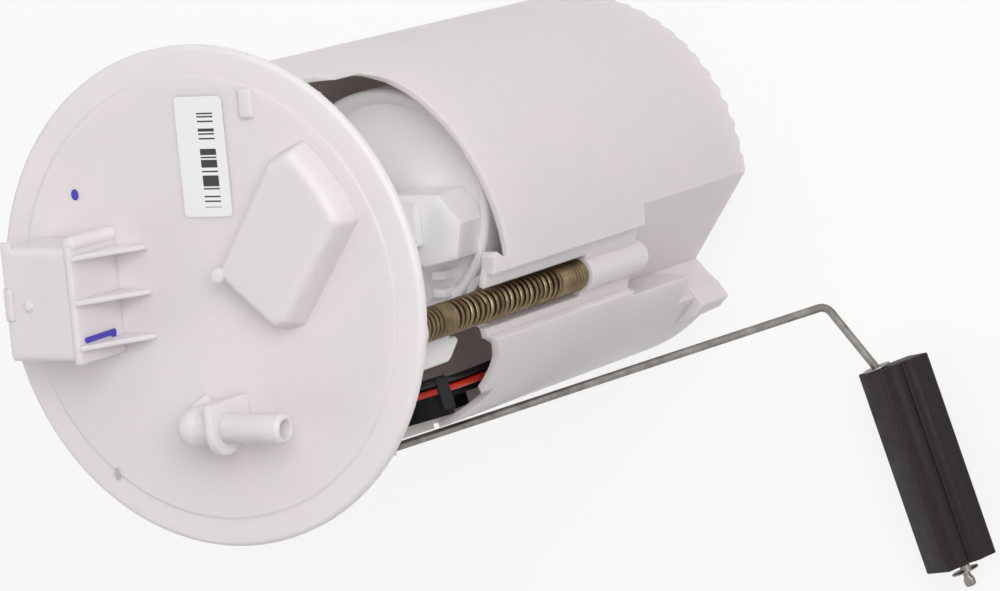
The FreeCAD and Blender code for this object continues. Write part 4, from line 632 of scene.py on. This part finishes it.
# Label, ink marks and gate scar on the cover
LABEL_LOW, LABEL_HIGH = (-4.0, 22.1), (11.5, 54.4)
LABEL_CORNER = 1.4
LABEL_SEAT = 2.9  # the cover's crown
MARK_SEAT = 2.88  # a hair under it, so that thin marks have no gap below them
LABEL_THICK, INK_THICK, SCAR_THICK = 0.09, 0.06, 0.07
DASH_SUNK, DASH_THICK = 0.02, 0.08
INK_DOT_AT, INK_DOT_HALVES = (-40.2, 28.5), (1.25, 1.55)
SCAR_AT, SCAR_HALVES = (-36, -48.7), (0.8, 1.7)
SHELL_BACK = -28.7  # X of the connector shell's back wall
INK_DASH = [(-7.5, 6.6), (-7.7, 20.0), (-8.3, 20.4), (-9.3, 19.7), (-9.1, 8.9), (-9.9, 7.8), (-9.6, 6.3),
            (-8.1, 6.1)]  # (y, z) of a long stroke of the marker on that wall


def rounded_rectangle(low, high, radius):
    """The outline of a rectangle with round corners, in metres."""
    corners = [(high[0] - radius, high[1] - radius, 0), (low[0] + radius, high[1] - radius, 90),
               (low[0] + radius, low[1] + radius, 180), (high[0] - radius, low[1] + radius, 270)]
    steps, outline = 6, []
    for x, y, start in corners:
        for k in range(steps + 1):
            a = math.radians(start + 90 * k / steps)
            outline.append(((x + radius * math.cos(a)) * MM, (y + radius * math.sin(a)) * MM))
    return outline


def oval(centre, halves):
    """The outline of an oval from its centre and half sizes, in metres."""
    count = 20
    turns = [2 * math.pi * k / count for k in range(count)]
    return [((centre[0] + halves[0] * math.cos(turn)) * MM, (centre[1] + halves[1] * math.sin(turn)) * MM)
            for turn in turns]


def cover_label():
    """The label, a thin film on the cover."""
    film = outline_solid("cover_label", rounded_rectangle(LABEL_LOW, LABEL_HIGH, LABEL_CORNER),
                         LABEL_THICK * MM, LABEL_SEAT * MM)
    settle(film, LABEL)
    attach(film, "flange")


def ink_blot(name, outline, low, thick, place=None):
    """A blot of marker ink on the cover, its outline and heights in metres."""
    blot = outline_solid(name, outline, thick, low)
    settle(blot, INK, place)
    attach(blot, "flange")


def gate_scar():
    """The scar that the runner left on the cover."""
    scar = outline_solid("gate_scar", oval(SCAR_AT, SCAR_HALVES), SCAR_THICK * MM, MARK_SEAT * MM)
    settle(scar, GATE)
    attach(scar, "flange")


def onto_back_wall():
    """Stand an outline of (y, z) points on the connector shell's back wall."""
    y_z_to_place = Matrix(((0, 0, 1, 0), (1, 0, 0, 0), (0, 1, 0, 0), (0, 0, 0, 1)))
    return Matrix.Translation((SHELL_BACK * MM, 0, 0)) @ y_z_to_place


cover_label()
ink_blot("ink_dot", oval(INK_DOT_AT, INK_DOT_HALVES), MARK_SEAT * MM, INK_THICK * MM)
ink_blot("ink_dash", [(y * MM, z * MM) for y, z in INK_DASH], -DASH_SUNK * MM, DASH_THICK * MM,
         onto_back_wall())
gate_scar()


# Pale floor and soft studio light, in metres and watts
WHITE = (1, 1, 1, 1)
WORLD_LEVEL = 0.38
FLOOR_SIZE, FLOOR_HEIGHT = 6, -0.2262
FLOOR_WHITE_SHARE = 0.8
LAMPS_AIM_AT = Vector((0.02, 0, -0.08))
LAMPS = [("key", (1.0, 0.55, 1.1), 1.0, 15.5), ("top", (0.1, 1.3, 0.9), 1.1, 3.0),
         ("back", (-1.2, -0.4, 0.8), 0.9, 2.5)]  # (name, place, side, power)


def white_to_eye(tree, shade, share):
    """A share of white to the camera, to gloss and through glass, and the given shade to the rest."""
    path = add(tree, "ShaderNodeLightPath")
    seen = add(tree, "ShaderNodeMath",
               {0: path.outputs["Is Camera Ray"], 1: path.outputs["Is Glossy Ray"]}, operation="MAXIMUM")
    seen = add(tree, "ShaderNodeMath", {0: seen.outputs[0], 1: path.outputs["Is Transmission Ray"]},
               operation="MAXIMUM")
    part = add(tree, "ShaderNodeMath", {0: seen.outputs[0], 1: share}, operation="MULTIPLY")
    kind = "ShaderNodeBackground" if shade.node.type == "BACKGROUND" else "ShaderNodeEmission"
    glow = add(tree, kind, {"Color": WHITE, "Strength": 1.0})
    return add(tree, "ShaderNodeMixShader", {0: part.outputs[0], 1: shade, 2: glow.outputs[0]})


def surroundings():
    """An even white world that lights the part softly."""
    world = bpy.data.worlds.new("studio")
    bpy.context.scene.world = world
    world.use_nodes = True
    tree = world.node_tree
    soft = tree.nodes["Background"]
    soft.inputs["Color"].default_value = WHITE
    soft.inputs["Strength"].default_value = WORLD_LEVEL
    mixed = white_to_eye(tree, soft.outputs[0], 1.0)
    tree.links.new(mixed.outputs[0], tree.nodes["World Output"].inputs["Surface"])


def pale_floor():
    """The floor under the part: white to the eye, and it keeps the part's shadow."""
    bpy.ops.mesh.primitive_plane_add(size=FLOOR_SIZE, location=(0, 0, FLOOR_HEIGHT))
    floor = bpy.context.object
    floor.name = "floor"
    material, tree, skin, _ = shader("floor_white", Roughness=0.9)
    skin.inputs["Base Color"].default_value = linear("#FCFCFC")
    mixed = white_to_eye(tree, skin.outputs[0], FLOOR_WHITE_SHARE)
    tree.links.new(mixed.outputs[0], tree.nodes["Material Output"].inputs["Surface"])
    floor.data.materials.append(material)


def lamps():
    """Broad square lamps: a key beside the camera, one above in its picture and a weak one behind."""
    for name, place, side, power in LAMPS:
        lamp = bpy.data.lights.new(name, "AREA")
        lamp.size = side
        lamp.energy = power
        holder = bpy.data.objects.new(name, lamp)
        holder.location = place
        aim = LAMPS_AIM_AT - Vector(place)
        holder.rotation_euler = aim.to_track_quat("-Z", "Y").to_euler()
        bpy.context.scene.collection.objects.link(holder)


surroundings()
pale_floor()
lamps()
bpy.context.scene.view_settings.view_transform = "Standard"
